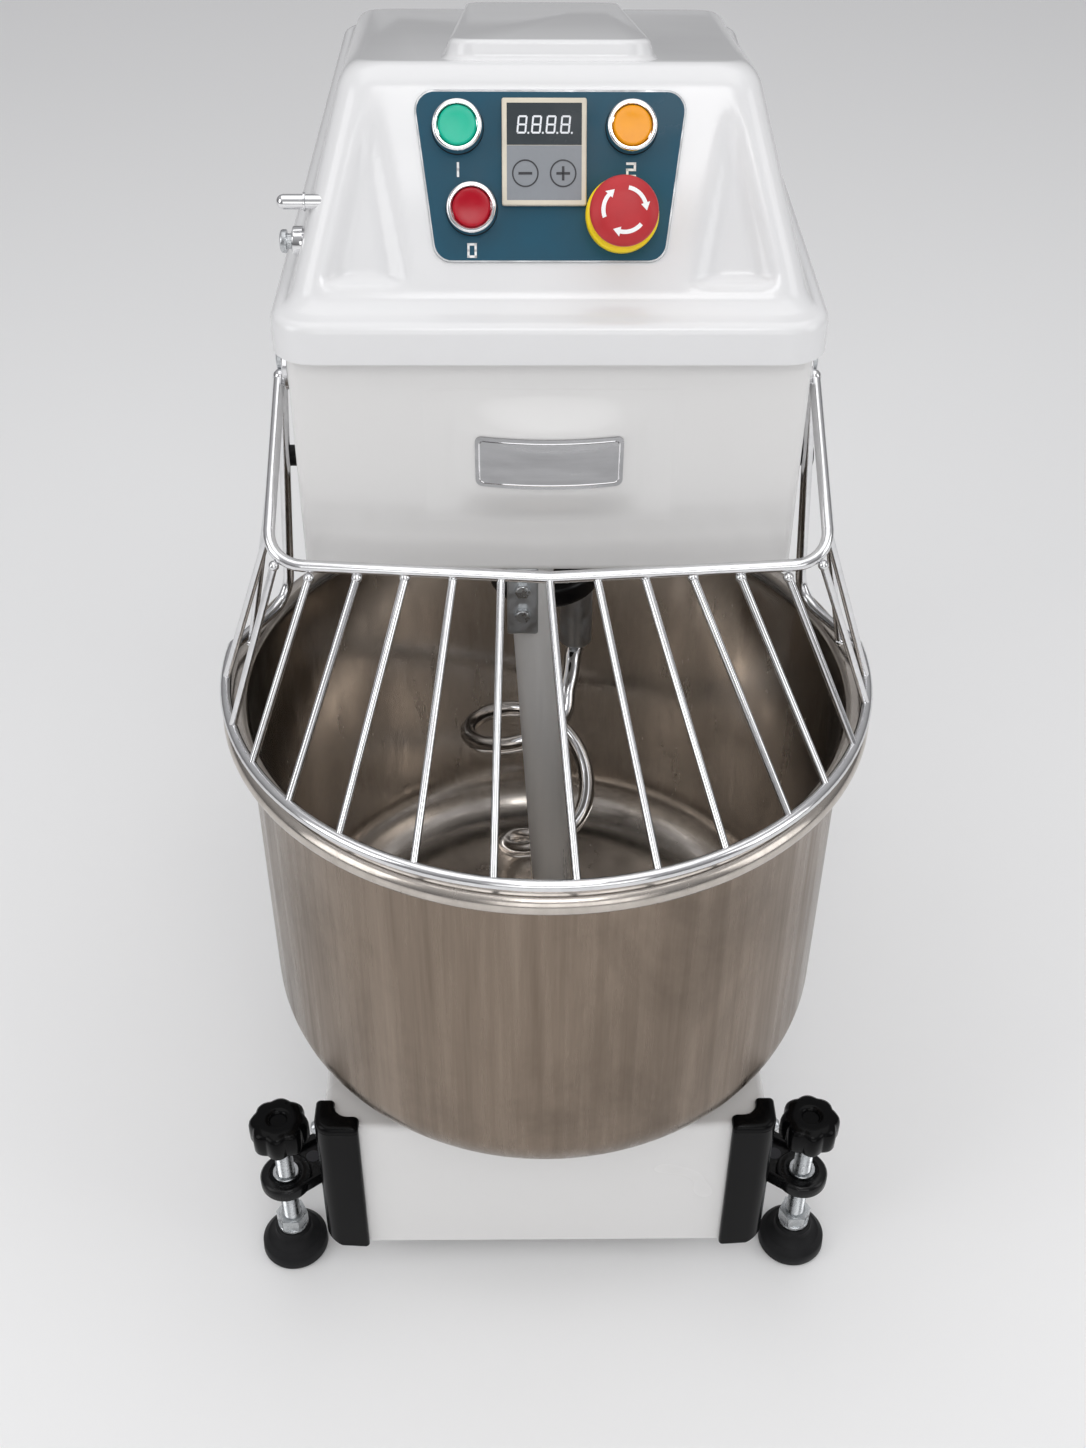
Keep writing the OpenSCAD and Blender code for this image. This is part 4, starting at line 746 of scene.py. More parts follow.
# %% The rear panel and its louvres
back_low, back_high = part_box("rear_panel")
backwards = Matrix.Rotation(pi / 2, 4, "X")
LOUVRE_ROWS = 9
LOUVRE_FIRST = 0.063
LOUVRE_PITCH = 0.018
LOUVRE_X = 0.060
bm = bmesh.new()
outline = oblong((back_low.x, back_low.z), (back_high.x, back_high.z), 0.006)
plate(bm, outline, -back_high.y, -back_low.y, backwards)
piece("rear_sheet", bm, "frame", white_enamel, ("rear_panel",), bevel=0.0007, sharp=40)
bm = bmesh.new()
slots = bmesh.new()
for row in range(LOUVRE_ROWS):
    z = back_low.z + LOUVRE_FIRST + row * LOUVRE_PITCH
    for x in (-LOUVRE_X, LOUVRE_X):
        outline = oblong((x - 0.045, z - 0.003), (x + 0.045, z + 0.003), 0.0028, 4)
        plate(slots, outline, -back_high.y - 0.0002, -back_high.y + 0.0003, backwards)
        profile = [(back_high.y - 0.0004, z - 0.0010), (back_high.y + 0.0042, z - 0.0002),
                   (back_high.y + 0.0044, z + 0.0006), (back_high.y + 0.0016, z + 0.0052),
                   (back_high.y - 0.0004, z + 0.0062)]
        plate(bm, profile, x - 0.046, x + 0.046, upright)
piece("louvre_hoods", bm, "frame", white_enamel, bevel=0.0009, sharp=35)
piece("louvre_shadows", slots, "frame", black_plastic_and_shade)

# %% [markdown]
# ## The bowl
# The bowl is spun from sheet: a flat bottom, a generous corner, a straight wall and a rim
# rolled outwards round a wire. One closed outline is turned about the bowl's own axis.

# %% The spun bowl with its rolled rim
BOWL_WALL = 0.002
BOWL_CORNER_R = 0.050
RIM_R = 0.0077
bowl_r = 0.2025
rim_z = bowl_high.z - RIM_R
rim_x = bowl_high.x - RIM_R
bowl_bottom = bowl_low.z


def arc(centre, radius, start, end, steps):
    """Points of an arc in the (radius, height) plane, angles in degrees."""
    turns = [radians(start + (end - start) * k / steps) for k in range(steps + 1)]
    return [(centre[0] + radius * cos(a), centre[1] + radius * sin(a)) for a in turns]


outer_corner = (bowl_r - BOWL_CORNER_R, bowl_bottom + BOWL_CORNER_R)
wall_top = (bowl_r, rim_z - 0.008)
outline = [(0.0, bowl_bottom)]
outline += arc(outer_corner, BOWL_CORNER_R, -90, 0, 14)
outline += [(bowl_r, bowl_bottom + 0.12), (bowl_r, bowl_bottom + 0.20), wall_top]
outline += arc((rim_x, rim_z), RIM_R, -148, 90, 26)
outline += arc((rim_x - 0.002, rim_z - 0.0005), RIM_R + 0.0003, 100, 176, 8)
outline += [(bowl_r - BOWL_WALL, rim_z - 0.012), (bowl_r - BOWL_WALL, bowl_bottom + 0.13)]
outline += arc(outer_corner, BOWL_CORNER_R - BOWL_WALL, 0, -90, 14)
outline += [(0.09, bowl_bottom + BOWL_WALL), (0.0, bowl_bottom + BOWL_WALL)]
bm = bmesh.new()
spun(bm, outline, 160, Matrix.Translation((bowl_axis.x, bowl_axis.y, 0)), closed=False)
bowl = piece("spun_bowl", bm, "bowl", bowl_outside, ("bowl",), sharp=40)
bowl.data.materials.append(polished)
for face in bowl.data.polygons:
    x, y = face.center.x - bowl_axis.x, face.center.y - bowl_axis.y
    reach = sqrt(x ** 2 + y ** 2)
    outside = face.normal.x * x + face.normal.y * y
    inside = reach < bowl_r - 0.0008 and (outside < 0 or face.normal.z > 0.3)
    face.material_index = 1 if inside or face.center.z > rim_z - 0.006 else 0
print("bowl faces inside:", sum(face.material_index for face in bowl.data.polygons))

# %% [markdown]
# ## The guard
# The guard is bent from bright rod: a ring just above the rim, a frame over the front and
# straight bars between them, all joined by small beads of weld.

# %% Lines of the guard
RING_ROD = 0.00375
BAR_ROD = 0.0025
RING_END = 95
BAR_FEET = [-71, -60, -48, -36, -22, -9, 4, 17, 29, 42.5, 53, 65, 77]
BAR_PITCH = 0.029
ring_r = guard_high.x - RING_ROD
ring_z = guard_low.z + RING_ROD
cross_z = head_z + 0.020
cross_y = face_front - 0.035
arm_x = hood_high.x + 0.0071
leg_x = arm_x + 0.014
leg_y = bowl_axis.y + 0.076
pivot = Vector((arm_x, guard_axis.y, guard_axis.z))
START_GAP = 0.01325


def on_ring(degrees):
    """A point of the guard's ring, measured from the front."""
    a = radians(degrees)
    return Vector((ring_r * sin(a), bowl_axis.y - ring_r * cos(a), ring_z))


def other_side(p):
    """The same point on the machine's other side."""
    return Vector((-p[0], p[1], p[2]))


shoulder = Vector((arm_x + 0.003, cross_y + 0.003, cross_z + 0.008))
knee = Vector((leg_x, leg_y, ring_z))
hip = pivot + (shoulder - pivot).normalized() * START_GAP
thigh = pivot + (knee - pivot).normalized() * START_GAP
left_end = bend([other_side(thigh), other_side(knee), on_ring(-RING_END)], 0.020)
right_end = bend([on_ring(RING_END), knee, thigh], 0.020)
ring_path = left_end + [on_ring(a) for a in range(-RING_END + 3, RING_END - 2, 3)] + right_end
frame_path = bend([other_side(hip), other_side(shoulder), (0, cross_y, cross_z), shoulder, hip], 0.022)

# %% The guard's rods, bars and welds
bm = bmesh.new()
tube(bm, ring_path, RING_ROD, 6)
tube(bm, frame_path, RING_ROD, 6)
bars = [(Vector(((k - 6) * BAR_PITCH, cross_y, cross_z)), on_ring(BAR_FEET[k])) for k in range(1, 12)]
for m, foot in ((-1, BAR_FEET[0]), (1, BAR_FEET[12])):
    bars.append((Vector((m * (arm_x - 0.001), cross_y + 0.004, cross_z + 0.006)), on_ring(foot)))
    bars.append((Vector((m * (arm_x + 0.0022), cross_y + 0.022, cross_z + 0.021)), on_ring(m * 85)))
    low = Vector((m * (leg_x + 0.020), bowl_axis.y + 0.022, ring_z))
    bars.append((Vector((m * (arm_x + 0.0008), cross_y + 0.078, cross_z + 0.056)), low))
for top, foot in bars:
    tube(bm, [top, foot], BAR_ROD, 4)
    for end in (top, foot):
        weld(bm, end, BAR_ROD * 1.35)
piece("wire_guard", bm, "guard", guard_wire, ("guard",), sharp=40)

# %% Hinge discs of the guard, with their pins
PLATE_T = 0.004
plate_x = arm_x - RING_ROD - PLATE_T + 0.0013
bm = bmesh.new()
disc = [(0.005, 0), (0.0192, 0), (0.020, 0.0008), (0.020, PLATE_T - 0.0008), (0.0192, PLATE_T),
        (0.005, PLATE_T)]


def hinge_place(x, turn):
    """A place on the guard's axis, with the upright axis turned to the side."""
    return Matrix.Translation((x, guard_axis.y, guard_axis.z)) @ Matrix.Rotation(turn, 4, "Y")


for m in (-1, 1):
    spun(bm, disc, 64, hinge_place(m * plate_x, m * pi / 2))
    for end in (hip, thigh):
        spot = end if m == 1 else other_side(end)
        weld(bm, spot + Vector((-m * 0.0005, 0, 0)), 0.0048)
piece("hinge_discs", bm, "guard", guard_wire, sharp=30)
pin_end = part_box("guard_pins")[1].x
PIN_INNER_X = 0.1335
pin = [(0.0, 0.0), (0.0052, 0.0), (0.0058, 0.0006), (0.0085, 0.0006), (0.009, 0.0012), (0.009, 0.0046),
       (0.005, 0.0050), (0.005, pin_end - PIN_INNER_X - 0.0006), (0.0042, pin_end - PIN_INNER_X),
       (0.0, pin_end - PIN_INNER_X)]
bm = bmesh.new()
for m in (-1, 1):
    spun(bm, pin, 48, hinge_place(m * pin_end, -m * pi / 2), closed=False)
piece("hinge_pins", bm, "guard", zinc, ("guard_pins",), sharp=30)

# %% [markdown]
# ## The spiral hook
# A round bar winds out of its hub, down round the bowl and in again at the bottom. Its line
# goes smoothly through stations of angle, radius and share of the drop.

# %% The hook's line and its rod
HOOK_ROD = 0.0065
STATIONS = [(0, 0.024, -0.08), (0, 0.024, 0.06), (0, 0.024, 0.2), (28, 0.0244, 0.24), (57, 0.0336, 0.285),
            (85, 0.0507, 0.37), (180, 0.059, 0.52), (270, 0.0502, 0.61), (360, 0.036, 0.77),
            (450, 0.031, 0.87), (540, 0.030, 0.96), (600, 0.024, 1)]
hub_low, hub_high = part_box("hook_hub")
hook_low_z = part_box("hook")[0].z + HOOK_ROD


def station(index):
    """A station by number, held at both ends."""
    return Vector(STATIONS[min(max(index, 0), len(STATIONS) - 1)])


hook_line = []
for i in range(len(STATIONS) - 1):
    a, b, c, d = (station(i + k) for k in (-1, 0, 1, 2))
    for k in range(16):
        t = k / 16
        hook_line.append(0.5 * (2 * b + (c - a) * t + (2 * a - 5 * b + 4 * c - d) * t ** 2
                                + (3 * b - a - 3 * c + d) * t ** 3))
hook_line.append(station(len(STATIONS)))
drop = hub_low.z - hook_low_z
hook_path = [Vector((s.y * cos(radians(s.x)), hook_axis.y - s.y * sin(radians(s.x)),
                     hub_low.z - s.z * drop)) for s in hook_line]
bm = bmesh.new()
tube(bm, hook_path, HOOK_ROD, 12)
bmesh.ops.create_uvsphere(bm, u_segments=24, v_segments=16, radius=HOOK_ROD * 0.999,
                          matrix=Matrix.Translation(hook_path[-1]))
piece("spiral_hook", bm, "hook", chrome, ("hook",), sharp=60)

# %% The sleeve at the hook's root, and the cast hub
sleeve_low, sleeve_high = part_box("hook_sleeve")
bm = bmesh.new()
sleeve_place = Matrix.Translation(((sleeve_low.x + sleeve_high.x) / 2, hook_axis.y, 0))
sleeve = [(0.0068, sleeve_low.z + 0.0015), (0.0085, sleeve_low.z), (0.0110, sleeve_low.z),
          (0.0120, sleeve_low.z + 0.0012), (0.0120, sleeve_high.z - 0.004), (0.0106, sleeve_high.z - 0.0025),
          (0.0120, sleeve_high.z - 0.001), (0.0120, sleeve_high.z), (0.0068, sleeve_high.z)]
spun(bm, sleeve, 48, sleeve_place)
piece("hook_collar", bm, "hook", satin, ("hook_sleeve",), sharp=30)
bm = bmesh.new()
hub_r = hub_high.x
hub = [(0.0, hub_low.z), (hub_r - 0.004, hub_low.z)]
hub += arc((hub_r - 0.004, hub_low.z + 0.004), 0.004, -80, 0, 5)
hub += arc((hub_r - 0.005, hub_low.z + 0.0135), 0.005, 0, 55, 5)
hub += [(hub_r - 0.010, hub_low.z + 0.0215), (0.0235, hub_high.z - 0.001), (0.0225, hub_high.z),
        (0.0, hub_high.z)]
spun(bm, hub, 96, Matrix.Translation((hook_axis.x, hook_axis.y, 0)), closed=False)
piece("hook_hub_casting", bm, "hook", black_casting, ("hook_hub",), sharp=30)

# %% [markdown]
# ## The breaker bar
# A thick polished bar leans down the middle of the bowl. A welded lug and two cap screws
# hold it under the head.

# %% The bar, its bracket and its screws
bar_low, bar_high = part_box("breaker_bar")
clamp_low, clamp_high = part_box("bar_clamp")
BAR_R = 0.0145
LEAN = radians(3.35)
bar_foot = Vector((bar_high.x - BAR_R * cos(LEAN), bowl_axis.y, bar_low.z + BAR_R * sin(LEAN)))
bar_top = Vector((bar_low.x + BAR_R * cos(LEAN), bowl_axis.y, bar_high.z - BAR_R * sin(LEAN)))
length = (bar_top - bar_foot).length
bm = bmesh.new()
bar = [(0.0, 0.0), (BAR_R - 0.0030, 0.0)] + arc((BAR_R - 0.0030, 0.0030), 0.0030, -70, 0, 4)
bar += [(BAR_R, length - 0.001), (BAR_R - 0.001, length), (0.0, length)]
spun(bm, bar, 72, Matrix.Translation(bar_foot) @ turn_to(bar_top - bar_foot), closed=False)
piece("leaning_bar", bm, "frame", bright_bar, ("breaker_bar",), sharp=30)
bm = bmesh.new()
plate_low = Vector((clamp_low.x, clamp_low.y, clamp_high.z - 0.007))
block(bm, plate_low, (clamp_high.x, clamp_high.y, clamp_high.z - 0.0003))
block(bm, (-0.026, clamp_low.y, clamp_low.z), (-0.006, clamp_low.y + 0.008, clamp_high.z - 0.006))
piece("bar_bracket", bm, "frame", satin, ("bar_clamp",), bevel=0.0018, sharp=40)

# %% [markdown]
# ## The control panel
# The printed plate under the buttons is wider at the top, with a thin silver line round it.
# Under the keys stand plain figures: one and two for the speeds, and nought for stop.

# %% The plate and its silver line
panel_low, panel_high = face_box("control_panel")
PANEL_T = 0.0015
PANEL_R = 0.011
LOW_HALF = 0.065
PRINT_INSET = 0.0011


def panel_outline(inset):
    """The plate's outline, drawn in from its edge."""
    low, high = panel_low.y + inset, panel_high.y - inset
    corner_r = PANEL_R - inset
    top_half = panel_high.x - inset * 1.1
    return rounded([(-LOW_HALF + inset, low, corner_r), (LOW_HALF - inset, low, corner_r),
                    (top_half, high, corner_r), (-top_half, high, corner_r)], True, 8)


bm = bmesh.new()
plate(bm, panel_outline(0), 0, PANEL_T - 0.0002, face_place)
piece("panel_plate", bm, "frame", satin, ("control_panel",), bevel=0.0003)
bm = bmesh.new()
plate(bm, panel_outline(PRINT_INSET), 0.0006, PANEL_T, face_place)
piece("panel_print", bm, "frame", panel_teal, bevel=0.0002)

# %% Figures and marks printed on the plate
BEZEL_R = 0.0142
SEGMENTS = {"0": "abcdef", "1": "bc", "2": "abged", "8": "abcdefg"}
BARS = {"a": (0, 1, 1, 1), "b": (1, 0.5, 1, 1), "c": (1, 0, 1, 0.5), "d": (0, 0, 1, 0),
        "e": (0, 0, 0, 0.5), "f": (0, 0.5, 0, 1), "g": (0, 0.5, 1, 0.5)}


def figure(bm, mark, at, size, line, out, slant=0.0):
    """A figure of straight strokes on the control face. Its size is width and height."""
    for name in SEGMENTS[mark]:
        x0, y0, x1, y1 = BARS[name]
        a = Vector((x0 * size[0] + y0 * size[1] * slant, y0 * size[1]))
        b = Vector((x1 * size[0] + y1 * size[1] * slant, y1 * size[1]))
        along = (b - a).normalized() * line * 0.5
        side = Vector((-along.y, along.x))
        a, b = a + along * 1.2 * (slant > 0), b - along * 1.2 * (slant > 0)
        corners = [a - along - side, b + along - side, b + along + side, a - along + side]
        outline = [(at[0] + c.x, at[1] + c.y) for c in corners]
        plate(bm, outline, out, out + 0.0002, face_place)


places = {name: face_at(name + "_button").translation for name in ("start_slow", "start_fast", "stop")}
low_edge = BEZEL_R + 0.0115
bm = bmesh.new()
for name, mark, width in (("start_slow", "1", 0), ("start_fast", "2", 0.0042), ("stop", "0", 0.0040)):
    at = face_place.inverted() @ places[name]
    figure(bm, mark, (at.x - width / 2, at.y - low_edge), (width, 0.0066), 0.0013, PANEL_T)
piece("panel_marks", bm, "frame", print_white, bevel=0.00004)

# %% [markdown]
# Each push button has a bright ring with a turned step and a coloured cap that sits inside it.
# A dark line marks the gap between the two.

# %% Bright rings of the push buttons
BEZEL_H = 0.012
CAP_R = 0.0108
CAP_TOP = 0.011
SINK_END = -0.0160
bm = bmesh.new()
dark = bmesh.new()
ring_line = [(CAP_R + 0.0002, 0.0035), (CAP_R + 0.0003, BEZEL_H - 0.0008), (CAP_R + 0.0009, BEZEL_H)]
ring_line += [(BEZEL_R - 0.0018, BEZEL_H)] + arc((BEZEL_R - 0.0016, BEZEL_H - 0.0012), 0.0012, 80, 0, 5)
ring_line += [(BEZEL_R - 0.0003, 0.0062), (BEZEL_R, 0.0056), (BEZEL_R, 0.0022),
              (BEZEL_R - 0.0004, 0.0016)]
ring_line += [(0.0110, 0.0016), (0.0110, -0.0043), (0.0150, -0.0043), (0.0150, -0.0083),
              (0.0110, -0.0083), (0.0110, SINK_END), (0.0043, SINK_END), (0.0043, -0.0140),
              (0.0095, -0.0140), (0.0095, 0.0035)]
seal_line = [(0.0046, 0.0016), (BEZEL_R + 0.0004, 0.0016), (BEZEL_R + 0.0002, 0.0024), (0.0046, 0.0024)]
for button in ("start_slow_button", "start_fast_button", "stop_button"):
    spun(bm, ring_line, 72, face_at(button))
    spun(dark, seal_line, 72, face_at(button))
piece("button_rings", bm, "frame", chrome, ("button_bezels",), sharp=30)
piece("button_seals", dark, "frame", black_rubber, sharp=30)

# %% Push-button caps
cap_line = [(0.0, CAP_TOP - 0.0003), (0.0060, CAP_TOP - 0.0002), (CAP_R - 0.0014, CAP_TOP)]
cap_line += arc((CAP_R - 0.0012, CAP_TOP - 0.0012), 0.0012, 80, 0, 5)
cap_line += [(CAP_R, CAP_TOP - 0.0030), (0.0040, CAP_TOP - 0.0030), (0.0040, -0.022), (0.0, -0.022)]
for node, body, slot, material in (("start_slow_button", "slow_button", "green_cap", green_cap),
                                   ("start_fast_button", "fast_button", "amber_cap", amber_cap),
                                   ("stop_button", "stop_button", "red_cap", red_cap)):
    bm = bmesh.new()
    spun(bm, cap_line, 72, face_at(node), closed=False)
    piece(body + "_cap", bm, body, material, (node,), sharp=30)

# %% [markdown]
# The emergency stop is a red mushroom with three white arrows that show which way it turns, over a yellow
# collar.

# %% The collar, stem and mushroom head
bm = bmesh.new()
collar_r = 0.0205
collar = [(0.0060, 0.0035), (0.0105, 0.0035), (0.0105, 0.0098), (0.0112, 0.0105),
          (collar_r - 0.0030, 0.0105)]
collar += arc((collar_r - 0.0028, 0.0077), 0.0028, 80, 5, 6)
collar += [(collar_r, 0.0040), (collar_r, 0.0015), (0.0110, 0.0015), (0.0110, SINK_END),
           (0.0043, SINK_END), (0.0043, -0.0140), (0.0060, -0.0140)]
stop_place = face_at("estop_head")
spun(bm, collar, 80, stop_place)
piece("stop_collar", bm, "frame", stop_yellow, ("estop_collar",), sharp=30)
bm = bmesh.new()
stem = [(0.0, -0.022), (0.004, -0.022), (0.004, 0.0078), (0.0098, 0.0078), (0.0100, 0.0082),
        (0.0100, 0.0146), (0.0097, 0.0149), (0.005, 0.0149), (0.005, 0.0225), (0.0047, 0.0229),
        (0.0, 0.0229)]
spun(bm, stem, 56, stop_place, closed=False)
piece("stop_stem", bm, "estop_stem", stop_red, ("estop_stem",), sharp=30)
bm = bmesh.new()
head = [(0.0052, 0.0153), (0.0125, 0.0153), (0.0145, 0.0168), (0.0168, 0.0188)]
head += arc((0.0156, 0.0246), 0.0034, -60, 60, 9)
head += [(0.0155, 0.0290), (0.0128, 0.0302), (0.0090, 0.0308), (0.0050, 0.0310), (0.0, 0.0310)]
inner = [(0.0, 0.0236), (0.0049, 0.0236), (0.0052, 0.0232)]
spun(bm, inner + head, 96, stop_place, closed=False)
bmesh.ops.remove_doubles(bm, verts=bm.verts, dist=0.000002)
piece("stop_head", bm, "estop_head", stop_red, ("estop_head",), sharp=30)

# %% Arrows on the mushroom head
bm = bmesh.new()


def on_head(angle, radius):
    """A point just over the mushroom's top, by angle in degrees and radius."""
    high = 0.0311 - 0.0013 * max(0, (radius - 0.006) / 0.009) ** 2
    local = Vector((radius * cos(radians(angle)), radius * sin(radians(angle)), high))
    return stop_place @ local


ARROW_SWEEP = 62
for turn in (80, 200, 320):
    strip = []
    for k in range(11):
        a = turn - ARROW_SWEEP * k / 10
        strip.append((bm.verts.new(on_head(a, 0.0106)), bm.verts.new(on_head(a, 0.0128))))
    for (a, b), (c, d) in zip(strip, strip[1:]):
        bm.faces.new((a, b, d, c))
    tip = turn - ARROW_SWEEP
    bm.faces.new([bm.verts.new(on_head(*p)) for p in ((tip, 0.0092), (tip, 0.0144), (tip - 20, 0.0120))])
bmesh.ops.recalc_face_normals(bm, faces=bm.faces)
bmesh.ops.solidify(bm, geom=bm.faces[:], thickness=0.00015)
piece("stop_arrows", bm, "estop_head", print_white)

# %% [markdown]
# The timer is a moulded frame with a dark window for four figures over a grey field with a
# minus key and a plus key.

# %% The timer's frame, window and keys
timer_low, timer_high = face_box("timer_module")
middle = ((timer_low.x + timer_high.x) / 2, (timer_low.y + timer_high.y) / 2)
half_x, half_y = (timer_high.x - timer_low.x) / 2, (timer_high.y - timer_low.y) / 2
top = timer_high.z
timer_place = face_place @ Matrix.Translation((*middle, 0))

bm = bmesh.new()
plate(bm, oblong((-half_x, -half_y), (half_x, half_y), 0.0012), PANEL_T, top, timer_place)
block(bm, (-0.021, -0.026, timer_low.z), (0.021, 0.026, PANEL_T + 0.001), timer_place)
piece("timer_case", bm, "frame", timer_frame, ("timer_module",), bevel=0.0009, sharp=30)
EDGE = 0.0027
SPLIT = 0.0035
bm = bmesh.new()
outline = oblong((-half_x + EDGE, SPLIT), (half_x - EDGE, half_y - EDGE), 0.0003)
plate(bm, outline, top - 0.001, top + 0.00003, timer_place)
piece("timer_window", bm, "frame", window_dark, bevel=0.0001)
bm = bmesh.new()
outline = oblong((-half_x + EDGE, -half_y + EDGE), (half_x - EDGE, SPLIT - 0.0001), 0.0003)
plate(bm, outline, top - 0.001, top + 0.00002, timer_place)
piece("timer_field", bm, "frame", timer_grey, bevel=0.0001)

# %% Figures in the window, and the two keys
FIGURE_PITCH = 0.0080
FIGURE_SIZE = (0.0044, 0.0086)
INK_T = 0.0002
KEY_X, KEY_Y = 0.0105, -0.0115
bm = bmesh.new()
for k in range(4):
    x, y = middle[0] + (k - 1.5) * FIGURE_PITCH - 0.0029, middle[1]
    figure(bm, "8", (x, y + 0.0100), FIGURE_SIZE, 0.0010, top, slant=0.10)
    dot = [(x + 0.0056, y + 0.0094), (x + 0.0066, y + 0.0094), (x + 0.0066, y + 0.0104),
           (x + 0.0056, y + 0.0104)]
    plate(bm, dot, top, top + INK_T, face_place)
piece("timer_figures", bm, "frame", digit_pale, bevel=0.00003)
bm = bmesh.new()
marks = bmesh.new()
for side in (-1, 1):
    centre = timer_place @ Matrix.Translation((side * KEY_X, KEY_Y, top))
    spun(bm, [(0.0066, 0.0), (0.0074, 0.0), (0.0074, INK_T), (0.0066, INK_T)], 48, centre)
    block(marks, (-0.0038, -0.0007, 0), (0.0038, 0.0007, INK_T), centre)
block(marks, (KEY_X - 0.0007, -0.0153, top), (KEY_X + 0.0007, -0.0077, top + INK_T), timer_place)
piece("timer_rings", bm, "frame", black_print_and_shade)
piece("timer_key_marks", marks, "frame", black_print_and_shade, bevel=0.00003)

# %% [markdown]
# The hood's left side carries a small bright pin with a domed end and, below it, a jog button
# in a turned ring.

# %% The side pin, the jog button and its ring
side_low, side_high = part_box("side_fittings")
jog_low, jog_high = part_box("jog_button")
jog_y, jog_z = (jog_low.y + jog_high.y) / 2, (jog_low.z + jog_high.z) / 2
pin_y, pin_z = jog_y - 0.002, side_high.z - 0.0042
outwards = Matrix.Rotation(-pi / 2, 4, "Y")
bm = bmesh.new()
reach = side_low.x
pin = [(0.0, -0.028), (0.0042, -0.028), (0.0042, -0.0125), (0.0052, -0.0122), (0.0052, -0.0112),
       (0.0042, -0.0109), (0.0042, 0.0)] + arc((0, 0), 0.0042, 8, 82, 7) + [(0.0, 0.0042)]
spun(bm, pin, 40, Matrix.Translation((reach + 0.0042, pin_y, pin_z)) @ outwards, closed=False)
flange = [(0.0045, -0.024), (0.006, -0.024), (0.006, -0.006), (0.0085, -0.006), (0.0085, -0.0012),
          (0.0082, -0.0004), (0.0074, 0.0), (0.0070, -0.0012), (0.0045, -0.0012)]
spun(bm, flange, 56, Matrix.Translation((jog_low.x + 0.0070, jog_y, jog_z)) @ outwards)
piece("side_pin_and_ring", bm, "frame", chrome, ("side_fittings",), sharp=30)
bm = bmesh.new()
depth = jog_low.x - jog_high.x
key = [(0.0, depth), (0.0043, depth), (0.0043, -0.0036), (0.0066, -0.0036), (0.0066, -0.0014),
       (0.0062, -0.0005), (0.0054, 0.0), (0.0030, -0.0003), (0.0, -0.0008)]
spun(bm, key, 48, Matrix.Translation((jog_low.x, jog_y, jog_z)) @ outwards, closed=False)
piece("jog_key", bm, "jog_button", zinc, ("jog_button",), sharp=30)

# %% [markdown]
# ## Corner guards and cast brackets
# Black mouldings wrap the base's front corners. Each ends in a thick cap that laps over the base's top, with
# a soft outer edge and a hollow inner corner, and has a domed screw. The foot brackets are sand castings
# with a raised boss and a sunk web; a dark disc of painted shade stands where the through hole is.

# %% Corner guards
GUARD_ARM = (0.033, 0.0295)
CAP_IN = 0.0085
EDGE_ROUND = 0.0042
corner_low, corner_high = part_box("corner_guards")


def guard_outline(m, inset):
    """The guard's outline from above, drawn in from its outer edge, with a hollow inner corner."""
    right, front = corner_high.x - inset, corner_low.y + inset
    inner_x, inner_y = base_high.x - CAP_IN + inset * 0.6, base_low.y + CAP_IN - inset * 0.6
    end_x, end_y = corner_high.x - GUARD_ARM[0] + inset, corner_low.y + GUARD_ARM[1] - inset
    points = rounded([(right, end_y, 0.003), (inner_x, end_y, 0.003), (inner_x, inner_y, 0.0115),
                      (end_x, inner_y, 0.003), (end_x, front, 0.003),
                      (right, front, 0.012 - inset)], True, 7)
    return [(m * p.x, p.y) for p in points]


bm = bmesh.new()
for m in (-1, 1):
    stack = []
    levels = [(base_high.z, 0)]
    levels += [(corner_high.z - EDGE_ROUND * (1 - sin(a)), EDGE_ROUND * (1 - cos(a)))
               for a in (k / 6 * pi / 2 for k in range(7))]
    for z, inset in levels:
        stack.append([bm.verts.new((x, y, z)) for x, y in guard_outline(m, inset)])
    skin(bm, stack)
piece("corner_caps", bm, "frame", black_moulding, sharp=40)
bm = bmesh.new()
for m in (-1, 1):
    outline = rounded([(corner_high.x, corner_low.y + GUARD_ARM[1], 0.003),
                       (base_high.x, corner_low.y + GUARD_ARM[1], 0), (base_high.x, base_low.y, 0.006),
                       (corner_high.x - GUARD_ARM[0], base_low.y, 0),
                       (corner_high.x - GUARD_ARM[0], corner_low.y, 0.003),
                       (corner_high.x, corner_low.y, 0.012)], True, 7)
    plate(bm, [(m * p.x, p.y) for p in outline], corner_low.z + 0.0005, base_high.z)
for vert in bm.verts:
    if vert.co.z < corner_low.z + 0.002:
        vert.co.z += 0.009 * ease(1 - (corner_high.x - abs(vert.co.x)) / (GUARD_ARM[0] * 0.5))
piece("corner_mouldings", bm, "frame", black_moulding, ("corner_guards",),
      bevel=0.0012, sharp=40)

